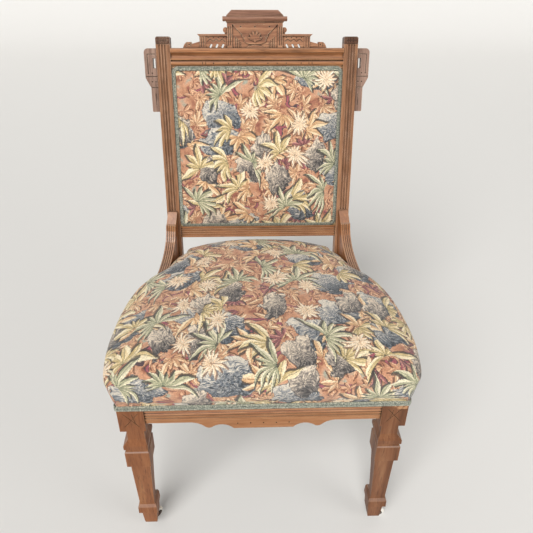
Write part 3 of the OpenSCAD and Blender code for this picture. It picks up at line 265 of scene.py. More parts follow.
def oiledWalnut(name, along, look):
    # Black walnut under an old rubbed varnish: streaks along the grain, open dark pores, dust and old
    # varnish left in the carving with painted shade over them, edges rubbed pale and given a painted
    # highlight, and a faded finish with a painted sheen on faces that look up
    material, add, shade = newMaterial(name)
    place = add("TexCoord", out="Object")
    along = Vector(along).normalized()
    way = add("VectorMath.DOT_PRODUCT", place, along)
    grain = add("VectorMath.MULTIPLY_ADD", way, along * (1 / look["stretch"] - 1), place)
    bands = add("TexNoise", Vector=grain, Scale=1 / look["band"], Detail=3.0, Distortion=0.5)
    streaks = add("TexNoise", Vector=grain, Scale=1 / look["streak"], Detail=4.0, Roughness=0.65)
    pores = add("TexNoise", Vector=grain, Scale=1 / look["pore"], Detail=1.0)
    mixed = add("Mix.FLOAT", look["streakShare"], bands, streaks)
    colour = add("ValToRGB", mixed, stops=list(zip(look["stops"], look["tones"])))
    poreDepth = add("MapRange", pores, 0.4, 0.28, 0.0, 0.55)
    normal = add("NewGeometry").node.outputs["Normal"]
    lift = add("SeparateXYZ", normal, out="Z")
    # Faces that look up turn greyer: partly a faded, dusty finish, partly a painted sheen of light from
    # above
    fadeAndSheen = add("MapRange", lift, 0.35, 1.0, 0.0, look["fadeAndSheen"])
    layers = [(poreDepth, "poreColour"), (fadeAndSheen, "fadeAndSheenColour")]
    if "capFrom" in look:  # end grain of the posts' caps, gone dark
        cap = add("MapRange", way, look["capFrom"], look["capFrom"] + mm, 0.0, 1.0)
        endGrain = add("VectorMath.DOT_PRODUCT", normal, along)
        dark = add("MapRange", endGrain, 0.2, 0.9, look["capSide"], look["capTop"])
        layers.append((add("MULTIPLY", cap, dark), "poreColour"))
    if "apronTop" in look:  # the plain wood below the reeds, browner than they are
        height = add("SeparateXYZ", place, out="Z")
        plain = add("MapRange", height, look["apronTop"], look["apronTop"] - 4 * mm, 0.0, look["apronShare"])
        layers.append((plain, "apronColour"))
    if "chip" in look:  # raw wood where a corner has broken away
        reach = look["chipReach"]
        away = add("VectorMath.SUBTRACT", place, look["chip"])
        away = add("VectorMath.LENGTH", add("VectorMath.MULTIPLY", away, (1.0, 1.0, 1.7)))
        torn = add("TexNoise", Vector=place, Scale=1 / look["chipTear"], Detail=2.0)
        ragged = add("MULTIPLY_ADD", torn, reach * 3, away)
        raw = add("MapRange", ragged, reach * 2.3, reach * 2.0, 0.0, 0.8)
        layers.append((raw, "chipColour"))
    # Edges turn paler: partly rubbed-through varnish, partly a painted highlight where light would catch
    # them
    edge = add("Bevel", Radius=look["edgeWearAndHighlightWidth"], samples=4)
    turned = add("VectorMath.DOT_PRODUCT", edge, normal)
    rubbedAndLit = add("MapRange", turned, 0.99, 0.85, 0.0, 1.0)
    patchy = add("TexNoise", Vector=place, Scale=1 / look["edgeWearAndHighlightPatch"], Detail=2.0)
    patchy = add("MapRange", patchy, 0.35, 0.65, 0.1, look["edgeWearAndHighlight"])
    rubbedAndLit = add("MULTIPLY", rubbedAndLit, patchy)
    # Creases and joins turn darker, found by ambient occlusion: partly dust and old varnish, partly painted
    # shade
    openness = add("AmbientOcclusion", Distance=look["grooveReach"], out="AO", samples=6)
    grimeAndShade = add("MapRange", openness, 0.85, 0.4, 0.0, look["groove"])
    for share, paint in layers + [(rubbedAndLit, "edgeWearAndHighlightColour"), (grimeAndShade, "grooveColour")]:
        colour = add("Mix.RGBA", share, colour, look[paint])
    gloss = add("MapRange", mixed, 0.3, 0.7, look["roughness"] + 0.08, look["roughness"] - 0.06)
    gloss = add("MapRange", grimeAndShade, 0.0, 1.0, gloss, 0.8)
    soft = add("Bevel", Radius=look["edgeRadius"], samples=4)
    relief = add("MULTIPLY_ADD", poreDepth, -0.6, streaks)
    relief = add("Bump", Height=relief, Strength=0.35, Distance=0.0003, Normal=soft)
    shade({"Base Color": colour, "Roughness": gloss, "Normal": relief, "Specular IOR Level": 0.25,
           "Coat Weight": look["varnish"], "Coat Roughness": 0.22})
    return material


# Widths in metres; the pores are drawn three times as coarse as real ones, so that they show
walnutLook = dict(
    stretch=16, band=0.02, streak=0.0045, pore=0.0016, streakShare=0.55,
    stops=(0.3, 0.44, 0.56, 0.72), tones=("#5d3721", "#8a5836", "#a36c44", "#ba8659"),
    # The greyer colour on faces that look up is partly a painted sheen, the pale edge colour partly a
    # painted highlight, and the near-black groove colour partly painted shade
    poreColour="#42271a", fadeAndSheen=0.3, fadeAndSheenColour="#a08c80", edgeWearAndHighlightWidth=0.0018,
    edgeWearAndHighlightPatch=0.03, edgeWearAndHighlight=0.7, edgeWearAndHighlightColour="#d0a97c", grooveReach=0.005, groove=0.95,
    grooveColour="#22130b", roughness=0.46, edgeRadius=0.0007, varnish=0.04,
)
postFoot = seatPoint(0, seatDepth, chair["leanStart"])
capFrom = (chair["postLength"] - chair["capHeight"]) * mm + alongBack.dot(postFoot)
legLook = dict(band=0.026, edgeWearAndHighlight=0.35, fadeAndSheen=0.6, streakShare=0.35)
# Way of the grain, the solids of one piece of wood, and what differs from the look above
woodwork = {
    # The posts' pale ridges are partly a painted highlight
    "posts": (alongBack, ["left_post", "right_post"], {
        "capFrom": capFrom, "capSide": 0.85, "capTop": 0.95, "edgeWearAndHighlight": 0.95, "edgeWearAndHighlightColour": "#d2ad92",
        "tones": ("#593a28", "#865d40", "#9d7253", "#b89071"), "grooveReach": 0.004}),
    # The ears' greyer tones and stronger greying of faces that look up stand partly for a painted sheen
    "ears": (alongBack, ["left_ear", "right_ear"], {
        "fadeAndSheen": 0.5, "band": 0.016, "tones": ("#573f35", "#806556", "#977a6a", "#ae9280"),
        "edgeWearAndHighlightColour": "#cdb39c"}),
    "crest rail": ((1, 0, 0), ["crest_rail", "lower_back_rail"], {
        "tones": ("#5b3a24", "#8b5d3b", "#a56f48", "#be8a5e")}),
    # The carving's pale edges are partly a painted highlight and its dark grooves partly painted shade
    "crest carving": ((1, 0, 0.05), ["crest_panel", "left_gallery", "right_gallery", "left_crest_end",
                                     "right_crest_end"], {
        "fadeAndSheen": 0.3, "band": 0.014, "edgeWearAndHighlight": 1.0, "edgeWearAndHighlightColour": "#dcbe9e", "edgeWearAndHighlightWidth": 0.0016,
        "grooveReach": 0.006, "groove": 1.0, "tones": ("#51372a", "#865a42", "#a27354", "#bd906e")}),
    "cornice": ((1, 0, 0), ["crest_cornice"], {
        "fadeAndSheen": 0.1, "band": 0.014, "edgeWearAndHighlight": 0.9, "tones": ("#4c3428", "#7d5643", "#966d58", "#ad856c")}),
    "brackets": ((0, 0.35, 1), ["left_hip_bracket", "right_hip_bracket"], {
        "varnish": 0.3, "roughness": 0.38, "fadeAndSheen": 0.45}),
    "front rail": ((1, 0, 0), ["front_rail", "rear_rail"], {
        "tones": ("#6b412b", "#996546", "#b27e5b", "#c89876"), "apronTop": (railTop - 31) * mm,
        "apronShare": 0.5, "apronColour": "#8f6036"}),
    "left side rail": ((sin(splay), cos(splay), 0), ["left_side_rail"], {}),
    "right side rail": ((-sin(splay), cos(splay), 0), ["right_side_rail"], {}),
    "left leg": ((0, 0.03, 1), ["left_front_leg"], {
        **legLook, "tones": ("#543120", "#77482b", "#895736", "#a07148")}),
    "right leg": ((0, -0.03, 1), ["right_front_leg"], {
        **legLook, "tones": ("#4c2d1c", "#6a4229", "#7b4f33", "#906746"), "chipReach": 0.024,
        "chip": seatPoint(halfWidth - 12, 0, railTop - 13), "chipTear": 0.006, "chipColour": "#c09068"}),
}
for name, (along, members, changes) in woodwork.items():
    dress(oiledWalnut("walnut, " + name, along, {**walnutLook, **changes}), members)


def sawnSoftwood(look):
    # Pine of the hidden blocks and panel frame, straight from the saw: pale, with darker summer wood
    material, add, shade = newMaterial("pine, sawn")
    place = add("TexCoord", out="Object")
    grain = add("VectorMath.MULTIPLY", place, (look["alongScale"], 1.0, 1.0))
    rings = add("TexWave", Vector=grain, Scale=1 / look["ring"] / 20, Distortion=3.0, Detail=2.0, out=1,
                bands_direction="DIAGONAL")
    saw = add("TexNoise", Vector=place, Scale=1 / look["sawMark"], Detail=2.0)
    shade({"Base Color": add("ValToRGB", rings, stops=[(0.2, look["pale"]), (0.9, look["dark"])]),
           "Roughness": add("MapRange", saw, 0.0, 1.0, 0.65, 0.85),
           "Normal": add("Bump", Height=saw, Strength=0.4, Distance=0.0004)})
    return material


def metalFinish(name, look):
    # A metal or glazed surface with mottling: its colour, its stain, and how rough each of them is
    material, add, shade = newMaterial(name)
    place = add("TexCoord", out="Object")
    mottle = add("TexNoise", Vector=place, Scale=1 / look["mottle"], Detail=5.0, Roughness=0.65)
    stain = add("MapRange", mottle, look["from"], look["to"], 0.0, 1.0)
    shade({"Base Color": add("ValToRGB", stain, stops=[(0.0, look["clean"]), (1.0, look["stained"])]),
           "Roughness": add("MapRange", stain, 0.0, 1.0, look["smooth"], look["rough"]),
           "Normal": add("Bump", Height=mottle, Strength=look["pitting"], Distance=0.0003),
           "Metallic": look["metallic"]})
    return material


dress(sawnSoftwood({"alongScale": 0.15, "ring": 0.006, "pale": "#cfae7c", "dark": "#a9814e",
                    "sawMark": 0.002}),
      ["corner_blocks", "frame_dowels", "crest_dowels", "left_panel_stile", "right_panel_stile",
       "top_panel_rail", "bottom_panel_rail"])
# Cast iron, dark from age with brown rust in patches
dress(metalFinish("iron, cast and rusted", {
    "mottle": 0.006, "from": 0.45, "to": 0.62, "clean": "#3b3836", "stained": "#5a3a28", "smooth": 0.5,
    "rough": 0.8, "pitting": 0.5, "metallic": 0.7}),
      ["left_caster_socket", "left_caster_horn", "right_caster_socket", "right_caster_horn"])
# Wheels turned from white clay and glazed: milky, very smooth, faintly yellowed
dress(metalFinish("porcelain, glazed", {
    "mottle": 0.008, "from": 0.5, "to": 0.7, "clean": "#f1eee6", "stained": "#d9cdb6", "smooth": 0.08,
    "rough": 0.22, "pitting": 0.04, "metallic": 0.0}),
      ["left_caster_wheel", "right_caster_wheel"])
# Screws and springs of drawn steel, dull grey with light tarnish
dress(metalFinish("steel, drawn", {
    "mottle": 0.004, "from": 0.45, "to": 0.7, "clean": "#a8a49c", "stained": "#6b5a4a", "smooth": 0.32,
    "rough": 0.55, "pitting": 0.15, "metallic": 1.0}),
      ["corner_screws", "bracket_screws", "panel_screws", "seat_springs", "left_caster_axle",
       "right_caster_axle"])

print("woven finishes")


def patternCell(add, place, spacing, scatter):
    # The cell of a Voronoi pattern that a place is in: its chances, and the way and distance from its foot
    cell = add("TexVoronoi", Vector=place, Scale=1 / spacing, Randomness=scatter,
               voronoi_dimensions="2D").node.outputs
    spoke = add("VectorMath.SUBTRACT", place, cell["Position"])
    chance = add("SeparateColor", cell["Color"]).node.outputs
    return chance, spoke, add("VectorMath.LENGTH", spoke)


def leafLayer(add, place, below, look):
    # Lays one kind of leaf or flower over the colours below it. Each cell of the pattern holds one
    # spray, whose leaves are lens shapes round its foot, all sizes in millimetres
    place = add("VectorMath.ADD", place, look["offset"])
    chance, spoke, reach = patternCell(add, place, look["spacing"], look["scatter"])
    # The leaves arch over, more towards their tips
    arch = add("MULTIPLY", add("MULTIPLY", reach, reach), look["arch"])
    axes = add("VectorMath.ADD", spoke, add("CombineXYZ", Y=arch))
    axes = add("SeparateXYZ", axes).node.outputs
    angle = add("ARCTAN2", axes[1], axes[0])
    upright = look["fan"] / 2 - look["leaves"] / 4 + 100 * look["leaves"]
    turned = add("MULTIPLY_ADD", chance[0], look["turn"], upright - look["turn"] / 2)
    number = add("MULTIPLY_ADD", angle, look["leaves"] / tau, turned)
    aside = add("SUBTRACT", add("FRACT", number), 0.5)
    aside = add("MULTIPLY", add("MULTIPLY", aside, tau / look["leaves"]), reach)
    half = add("ABSOLUTE", aside)
    number = add("MODULO", add("FLOOR", number), look["leaves"])
    draw = add("CombineXYZ", number, chance[1], chance[2])
    draw = add("TexWhiteNoise", Vector=draw, noise_dimensions="3D")
    length = add("MapRange", draw, 0.0, 1.0, look["length"] * look["shortest"], look["length"])
    stands = add("LESS_THAN", number, look["fan"])
    length = add("MAXIMUM", add("MULTIPLY", length, stands), 0.01)
    along = add("DIVIDE", reach, length, use_clamp=True)
    width = add("SINE", add("MULTIPLY", add("POWER", along, look["belly"]), pi))
    inside = add("SUBTRACT", add("MULTIPLY", width, look["width"]), half)
    # One side of the rib is in the light, the other in shade, with streaks of thread along the leaf
    streak = add("CombineXYZ", aside, reach, draw)
    streak = add("VectorMath.MULTIPLY", streak, (1 / look["thread"], 1 / look["threadRun"], 40.0))
    streak = add("TexNoise", Vector=streak, Scale=1.0, Detail=1.0)
    tone = add("MULTIPLY_ADD", aside, -0.5 / look["width"], streak)
    tone = add("MULTIPLY_ADD", along, look["tipLight"], tone)
    tone = add("MULTIPLY_ADD", draw, look["spread"], tone)
    tone = add("MapRange", tone, 0.1 + look["spread"] / 3, 0.85 + (look["spread"] + look["tipLight"]) * 0.6)
    colour = add("ValToRGB", tone, stops=look["colours"])
    rib = add("MULTIPLY", add("LESS_THAN", half, look["rib"]), look["ribShare"])
    # A line of dark thread along the shaded edge, which also falls on what lies behind
    shaded = add("GREATER_THAN", aside, 0.0)
    ink = add("MULTIPLY_ADD", shaded, look["outline"], 0.3)
    ink = add("MULTIPLY", add("LESS_THAN", inside, ink), look["ink"])
    for share, paint in ((rib, "ribColour"), (ink, "inkColour")):
        colour = add("Mix.RGBA", share, colour, look[paint])
    there = add("LESS_THAN", chance[2], look["share"])
    short = add("LESS_THAN", along, 1.0)
    cast = add("GREATER_THAN", inside, -look["cast"])
    for factor in (shaded, stands, there, short, look["castShare"]):
        cast = add("MULTIPLY", cast, factor)
    below = add("Mix.RGBA", cast, below, look["inkColour"])
    here = add("MULTIPLY", add("GREATER_THAN", inside, 0.0), there)
    return add("Mix.RGBA", here, below, colour)


def tussockLayer(add, place, below, look):
    # Lays tussocks of grey feather grass: lumps with ragged edges, hatched from their middles in short
    # strokes of dark and pale thread, and lit from above, all sizes in millimetres
    length, contrast = look["length"], look["contrast"]
    place = add("VectorMath.ADD", place, look["offset"])
    place = add("VectorMath.MULTIPLY", place, look["stretch"])
    chance, spoke, reach = patternCell(add, place, look["spacing"], look["scatter"])
    axes = add("SeparateXYZ", spoke).node.outputs
    angle = add("ARCTAN2", axes[1], axes[0])
    wave = add("TexNoise", Vector=place, Scale=1 / look["lump"], Detail=1.0)
    swirl = add("MULTIPLY_ADD", wave, look["swirl"], angle)
    stroke = add("CombineXYZ", swirl, reach, chance[0])
    stroke = add("VectorMath.MULTIPLY", stroke, (length * 0.55 / look["strokeWidth"],
                                                 1 / look["strokeLength"], 50.0))
    stroke = add("TexNoise", Vector=stroke, Scale=1.0, Detail=1.5)
    edge = add("MapRange", wave, 0.3, 0.7, length * 0.5, length)
    edge = add("MULTIPLY_ADD", stroke, look["ragged"], edge)
    inside = add("SUBTRACT", edge, reach)
    lit = add("VectorMath.DOT_PRODUCT", spoke, (-0.35 / length, 0.5 / length, 0.0))
    lit = add("MULTIPLY_ADD", stroke, contrast, lit)
    lit = add("MULTIPLY_ADD", wave, 0.8, lit)
    lit = add("MapRange", lit, contrast / 2 - 0.15, contrast / 2 + 0.95)
    colour = add("ValToRGB", lit, stops=look["colours"])
    ink = add("MULTIPLY", add("LESS_THAN", inside, look["outline"]), look["ink"])
    colour = add("Mix.RGBA", ink, colour, look["inkColour"])
    there = add("LESS_THAN", chance[2], look["share"])
    here = add("MULTIPLY", add("GREATER_THAN", inside, 0.0), there)
    return add("Mix.RGBA", here, below, colour)


leafBase = dict(scatter=0.95, arch=0.005, turn=5, shortest=0.35, belly=0.8, spread=0.3,
                tipLight=0.25, rib=0.55, ribShare=0.65, ribColour="#5f5c47", outline=1.8,
                ink=0.9, inkColour="#484542", cast=2.2, castShare=0.8, share=1.0,
                thread=1.6, threadRun=13)
tussockBase = dict(scatter=0.9, stretch=(1.0, 1.0, 1.0), lump=40, swirl=2.2, strokeWidth=2.2,
                   strokeLength=9, ragged=11, contrast=3.0, outline=1.8, ink=0.75,
                   inkColour="#3d4146")
# From the undergrowth up to the flowers that lie on everything
leafKinds = [
    dict(spacing=31, leaves=7, fan=5, length=30, width=4.2, offset=(11, 7, 0), share=0.9,
         turn=7, colours=[(0, "#915b46"), (0.4, "#c6906f"), (1, "#e9bf99")], ribColour="#8d5849",
         outline=1.2, cast=1.5, inkColour="#714d3f"),
    dict(spacing=46, leaves=9, fan=6, length=44, width=5.4, offset=(131, 97, 0), share=0.8,
         turn=9, colours=[(0, "#946b50"), (0.35, "#ca9a77"), (0.7, "#e5be95"), (1, "#f2d9b5")],
         ribColour="#94654c", outline=1.3, cast=1.7, inkColour="#6a4c3f"),
    dict(spacing=62, leaves=9, fan=5, length=44, width=4.6, offset=(203, 41, 0), share=0.35,
         turn=9, colours=[(0, "#684749"), (0.5, "#9b6362"), (1, "#c68e82")], ribColour="#5b3d41",
         outline=1.2, cast=1.5),
    dict(tussock=True, spacing=138, length=56, offset=(31, 77, 0), share=0.75,
         stretch=(1.0, 1.4, 1.0),
         colours=[(0, "#414447"), (0.35, "#6f757b"), (0.65, "#a09e9b"), (1, "#dfd4c2")]),
    dict(spacing=84, leaves=10, fan=6, length=60, width=7.4, offset=(57, 13, 0), share=0.75,
         turn=10, colours=[(0, "#886049"), (0.3, "#c4946d"), (0.65, "#e9c294"), (1, "#f6e0ba")],
         ribColour="#946649"),
    dict(tussock=True, spacing=108, length=40, offset=(331, 177, 0), share=0.5,
         stretch=(1.3, 1.0, 1.0), lump=30,
         colours=[(0, "#474443"), (0.35, "#7a736d"), (0.65, "#ac9f91"), (1, "#e6d4bc")]),
    dict(spacing=96, leaves=12, fan=6, length=74, width=7.4, offset=(161, 119, 0),
         share=0.8, arch=0.009, turn=10,
         colours=[(0, "#7e6a4b"), (0.3, "#b69f6e"), (0.6, "#e3ca97"), (1, "#f7e7c3")]),
    dict(spacing=126, leaves=16, fan=9, length=74, width=5.6, offset=(87, 171, 0),
         share=0.65, arch=0.009, turn=9,
         colours=[(0, "#626451"), (0.3, "#99997b"), (0.6, "#c6bf9c"), (1, "#ece1c2")],
         ribColour="#646f5b"),
    dict(spacing=98, leaves=15, fan=15, length=32, width=3.2, offset=(19, 143, 0),
         share=0.5, shortest=0.5, belly=1.0, arch=0.0,
         colours=[(0, "#c89d7b"), (0.4, "#ecd0ab"), (1, "#f7e9d1")], ribColour="#d7ad88",
         rib=0.3, outline=0.7, inkColour="#886a58"),
]


def verdureTapestry(name, shift, look):
    # Jacquard tapestry of cotton and wool: flat colour areas hatched into each other thread by thread,
    # a ribbed matt surface and a faint fuzz that catches the light at a low angle
    material, add, shade = newMaterial(name)
    cloth = add("UVMap", uv_map="clothMap")
    cloth = add("VectorMath.SCALE", cloth, 1000.0)  # metres to millimetres
    cloth = add("VectorMath.ADD", cloth, shift)
    threads = add("VectorMath.SNAP", cloth, (look["warp"], look["weft"], 1.0))
    drift = add("TexNoise", Vector=threads, Scale=1 / look["driftPatch"], Detail=1.0, out="Color")
    drift = add("VectorMath.SUBTRACT", drift, (0.5, 0.5, 0.5))
    drift = add("VectorMath.SCALE", drift, look["drift"])
    place = add("VectorMath.ADD", threads, drift)
    # Ground of peach and terracotta with dabs of grey green and maroon
    ground = add("TexNoise", Vector=place, Scale=1 / look["groundPatch"], Detail=2.5)
    colour = add("ValToRGB", ground, stops=list(zip((0.3, 0.38, 0.48, 0.58, 0.66), look["ground"])))
    # Stems wander along the level lines of a slow noise
    stem = add("TexNoise", Vector=place, Scale=1 / look["stemPatch"], Detail=1.5)
    stem = add("ABSOLUTE", add("SUBTRACT", stem, 0.5))
    for reach, paint in look["stems"]:
        line = add("LESS_THAN", stem, reach)
        colour = add("Mix.RGBA", line, colour, paint)
    for kind in leafKinds:
        if "tussock" in kind:
            colour = tussockLayer(add, place, colour, {**tussockBase, **kind})
        else:
            colour = leafLayer(add, place, colour, {**leafBase, **kind})
    # Each thread is a little darker or lighter than the next
    single = add("TexWhiteNoise", Vector=threads, noise_dimensions="2D")
    single = add("MapRange", single, 0.0, 1.0, 1 - look["uneven"], 1 + look["uneven"])
    colour = add("VectorMath.SCALE", colour, single)
    rib = add("VectorMath.MULTIPLY", cloth, (tau / look["warp"], tau / look["weft"], 0.0))
    rib = add("VectorMath.DOT_PRODUCT", add("VectorMath.SINE", rib), (0.6, 1.0, 0.0))
    shade({"Base Color": colour, "Normal": add("Bump", Height=rib, Strength=0.5, Distance=0.0004),
           "Roughness": add("MapRange", rib, -1.6, 1.6, 0.95, 0.8),
           "Sheen Weight": 0.15, "Sheen Roughness": 0.5, "Specular IOR Level": 0.25})
    return material


# The threads are drawn at 1.5 mm and 1.2 mm, where real ones are half as wide, so that they show
tapestryLook = dict(warp=1.5, weft=1.2, drift=30, driftPatch=60, groundPatch=24, stemPatch=90,
                    stems=((0.013, "#5c4c4e"), (0.008, "#a55e64")), uneven=0.22,
                    ground=("#a6a694", "#cda184", "#cc9878", "#ba8667", "#9a6353"))
seatTapestry = verdureTapestry("tapestry, jacquard, seat", (900, 700, 0), tapestryLook)
backTapestry = verdureTapestry("tapestry, jacquard, back", (400, 1500, 0), tapestryLook)


def yarnWeave(name, look):
    # Plain woven or twisted yarn: crossing threads with their own light and dark, matt and a little fuzzy
    material, add, shade = newMaterial(name)
    place = add("TexCoord", out="Object")
    threads = add("VectorMath.SCALE", place, tau / look["thread"])
    wave = add("VectorMath.DOT_PRODUCT", add("VectorMath.SINE", threads), look["cross"])
    flecks = add("TexNoise", Vector=place, Scale=1 / look["fleck"], Detail=3.0)
    tone = add("MULTIPLY_ADD", wave, 0.08, flecks)
    shade({"Base Color": add("ValToRGB", tone, stops=look["stops"]),
           "Normal": add("Bump", Height=wave, Strength=0.6, Distance=look["thread"] / 5),
           "Roughness": add("MapRange", flecks, 0.0, 1.0, 0.95, 0.75),
           "Sheen Weight": look["sheen"]})
    return material


# Gimp of rayon and cotton yarn, grey green with light flecks, slightly silky
gimpYarn = yarnWeave("gimp, braided yarn", {
    "thread": 0.0011, "cross": (0.7, 0.7, 0.7), "fleck": 0.003, "sheen": 0.25,
    "stops": [(0.32, "#4b5146"), (0.45, "#767c6f"), (0.58, "#999a89"), (0.7, "#cdc8b0")]})
# Jute webbing, hessian and calico: coarse, straw coloured, matt
juteLinen = yarnWeave("linen and jute, plain woven", {
    "thread": 0.0022, "cross": (0.8, 0.8, 0.8), "fleck": 0.006, "sheen": 0.05,
    "stops": [(0.3, "#8a6f47"), (0.5, "#b2935f"), (0.7, "#c9ad79")]})
# Black cambric under the seat, thin, matt, greyed with dust
blackCambric = yarnWeave("cambric, black", {
    "thread": 0.0012, "cross": (0.7, 0.7, 0.7), "fleck": 0.03, "sheen": 0.1,
    "stops": [(0.3, "#1f1d1c"), (0.5, "#2b2826"), (0.75, "#3f3b37")]})


def pressCloth(piece, held, limit, pressure):
    # Swells the cloth over its stuffing: the points in held stay tacked down, and none moves past limit
    before = np.array([v.co for v in piece.data.vertices])
    group = piece.vertex_groups.new(name="tacked")
    group.add([int(i) for i in held], 1.0, "REPLACE")
    cloth = piece.modifiers.new("press", "CLOTH")
    settings = cloth.settings
    settings.quality = 6
    settings.mass = 0.3
    settings.tension_stiffness = settings.compression_stiffness = 22
    settings.shear_stiffness = 8
    settings.bending_stiffness = 1.5
    settings.use_pressure = True
    settings.uniform_pressure_force = pressure
    settings.effector_weights.gravity = 0
    settings.vertex_group_mass = "tacked"
    for step in range(1, 21):
        scene.frame_set(step)
    evaluated = piece.evaluated_get(bpy.context.evaluated_depsgraph_get())
    after = np.array([v.co for v in evaluated.data.vertices])
    piece.modifiers.remove(cloth)
    scene.frame_set(1)
    piece.vertex_groups.clear()
    shift = after - before
    far = np.linalg.norm(shift, axis=1, keepdims=True)
    shift *= np.minimum(1, limit / np.maximum(far, 1e-9))
    for vertex, place in zip(piece.data.vertices, before + shift):
        vertex.co = place


def padFaces(levels, under, count):
    # Faces of a pad from rings of count points: up to a middle point, then from the same edge over the
    # underside to another. Gives back the first point of the underside too
    ring = [(i, (i + 1) % count) for i in range(count)]
    top = levels * count
    first = top + 1
    last = first + (under - 1) * count
    faces = ringFaces(levels, count)
    faces += [(top - count + i, top - count + j, top) for i, j in ring]
    faces += [(i, first + i, first + j, j) for i, j in ring]
    faces += [tuple(reversed(f)) for f in ringFaces(under, count, first)]
    return faces + [(last + j, last + i, last + count) for i, j in ring], first


print("seat cushion")
# Edge of the seat on the right half: place, swell of the pad beyond the rails, and slack of the stuffing
seatLook = dict(crown=113, bulge=27, press=0.004, pressure=1.2, webbingRise=37.4)
crown, bulge = seatLook["crown"], seatLook["bulge"]


def sidePoint(share, inset, swell, slack):
    # A point of the seat's edge over the side rail
    return sideX(share * seatDepth) - inset, share * seatDepth, swell, slack


halfEdge = [(0, 0, bulge, 0), (chair["seatWidth"] * 0.26, 0, bulge, 0), (halfWidth - 26, 0, bulge - 2, 0),
            (halfWidth - 1.7, 1.7, 19.5, 0.01), (halfWidth, 40, 29, 0), sidePoint(0.24, 0, 43, 0),
            sidePoint(0.42, 0, 45, 0), sidePoint(0.58, 0, 36, 0), sidePoint(0.7, 0, 14, 0.005),
            sidePoint(0.8, 12, 2, 0.015), (postIn + 14, 408, 0, 0.02), (postIn + 1, 440, 0, 0.05),
            (postIn - 2, 466, 1, 0.08), (postIn - 10, seatBack, 2, 0.1), (postIn * 0.5, seatBack, 3, 0.02),
            (0, seatBack, 3, 0)]
wholeEdge = halfEdge + [(-x, y, a, b) for x, y, a, b in halfEdge[-2:0:-1]]
seatMiddle = np.array((0, seatDepth * 0.55))
# Share of the swell, share of the way to the middle, and share of the crown's height
seatLevels = [(0.3, 0, 0.13), (0.5, 0, 0.29), (0.68, 0, 0.42), (0.89, 0.005, 0.55), (0.74, 0.055, 0.68),
              (0.25, 0.165, 0.81), (0, 0.33, 0.9), (0, 0.56, 0.97), (0, 0.8, 1), (0, 0.93, 1.002)]


def clearOfFrame(x, y, gap=0.4):
    # Moves a point out of the room that the hip brackets and the posts take, the shorter way
    side = 1 if x > 0 else -1
    x = abs(x)
    offset = np.array((x - sideX(seatDepth), y - seatDepth))
    across = offset @ (cos(splay), sin(splay))
    along = offset @ (-sin(splay), cos(splay))
    inner, front = -chair["bracketWidth"] - gap, chair["toe"] - seatDepth - gap
    if across > inner and along > front:
        if across - inner < along - front:
            across = inner
        else:
            along = front
        x = sideX(seatDepth) + across * cos(splay) - along * sin(splay)
        y = seatDepth + across * sin(splay) + along * cos(splay)
    if x > postIn - gap and y > seatDepth - gap:
        if x - postIn < y - seatDepth:
            x = postIn - gap
        else:
            y = seatDepth - gap
    return side * x, y


edge = smoothLine(wholeEdge, 5, closed=True)
edgeCount = len(edge)
columns = []
for x, y, swell, slack in edge:
    out = np.array((x, y)) - seatMiddle
    away = np.linalg.norm(out)
    foot = seatMiddle + out * (1 + chair["coverThickness"] / away)
    column = [(*foot, railTop - chair["coverDrop"]), (*foot, railTop + 1)]
    for swellShare, inShare, rise in seatLevels:
        spot = seatMiddle + out * (1 + swell * swellShare / away) * (1 - inShare) * (1 - slack * rise)
        column.append((*spot, railTop + crown * rise ** (1 + 3 * slack)))
    column.append((*seatMiddle, railTop + crown * 1.003))
    columns.append(smoothLine(column, 3)[:-1])
columns = np.array(columns)
levelCount = columns.shape[1]
# The cloth is measured out from the middle, so that its pattern runs straight over the front edge
ends = np.roll(edge, -1, axis=0)[:, :2] - np.roll(edge, 1, axis=0)[:, :2]
outwards = unitRows(np.column_stack((ends[:, 1], -ends[:, 0])))
top = np.array((*seatMiddle, railTop + crown))
steps = np.linalg.norm(np.diff(np.concatenate(
    (columns, np.broadcast_to(top, (edgeCount, 1, 3))), axis=1), axis=1), axis=2)
cut = np.flip(np.cumsum(np.flip(steps, 1), axis=1), 1)
plain = np.linalg.norm(columns[:, :, :2] - seatMiddle, axis=2)
seatMap = columns[:, :, :2] + outwards[:, None, :] * (cut - plain)[:, :, None]

points = [*columns.swapaxes(0, 1).reshape(-1, 3), top]
uvs = [*(seatMap * mm).swapaxes(0, 1).reshape(-1, 2), seatMiddle * mm]
# Underside: up behind the skirt, in over the rails, and up over the springs
webbingTop = railTop + seatLook["webbingRise"]
underside = [(1.4, railTop - chair["coverDrop"]), (1.4, railTop + 0.2), (38, railTop + 0.3),
             (44, railTop + 6), (46, webbingTop - 4), (52, webbingTop), (150, webbingTop + 0.2)]
middleInset = 60  # rings further in than this are drawn towards the middle instead
for inset, z in underside:
    for i in range(edgeCount):
        spot = columns[i, 0, :2] - outwards[i] * min(inset, middleInset)
        if inset > middleInset:
            spot = seatMiddle + (spot - seatMiddle) * 0.3
        points.append((*spot, z))
        uvs.append(seatMap[i, 0] * mm)
points.append((*seatMiddle, webbingTop))
uvs.append(seatMiddle * mm)
faces, first = padFaces(levelCount, len(underside), edgeCount)
seatCushion = newPiece("seat_cushion", [seatPoint(*p) for p in points], faces, seatTapestry, "tapestry", uvs)
tacked = list(range(5 * edgeCount)) + list(range(first, len(points)))
pressCloth(seatCushion, tacked, seatLook["press"], seatLook["pressure"])
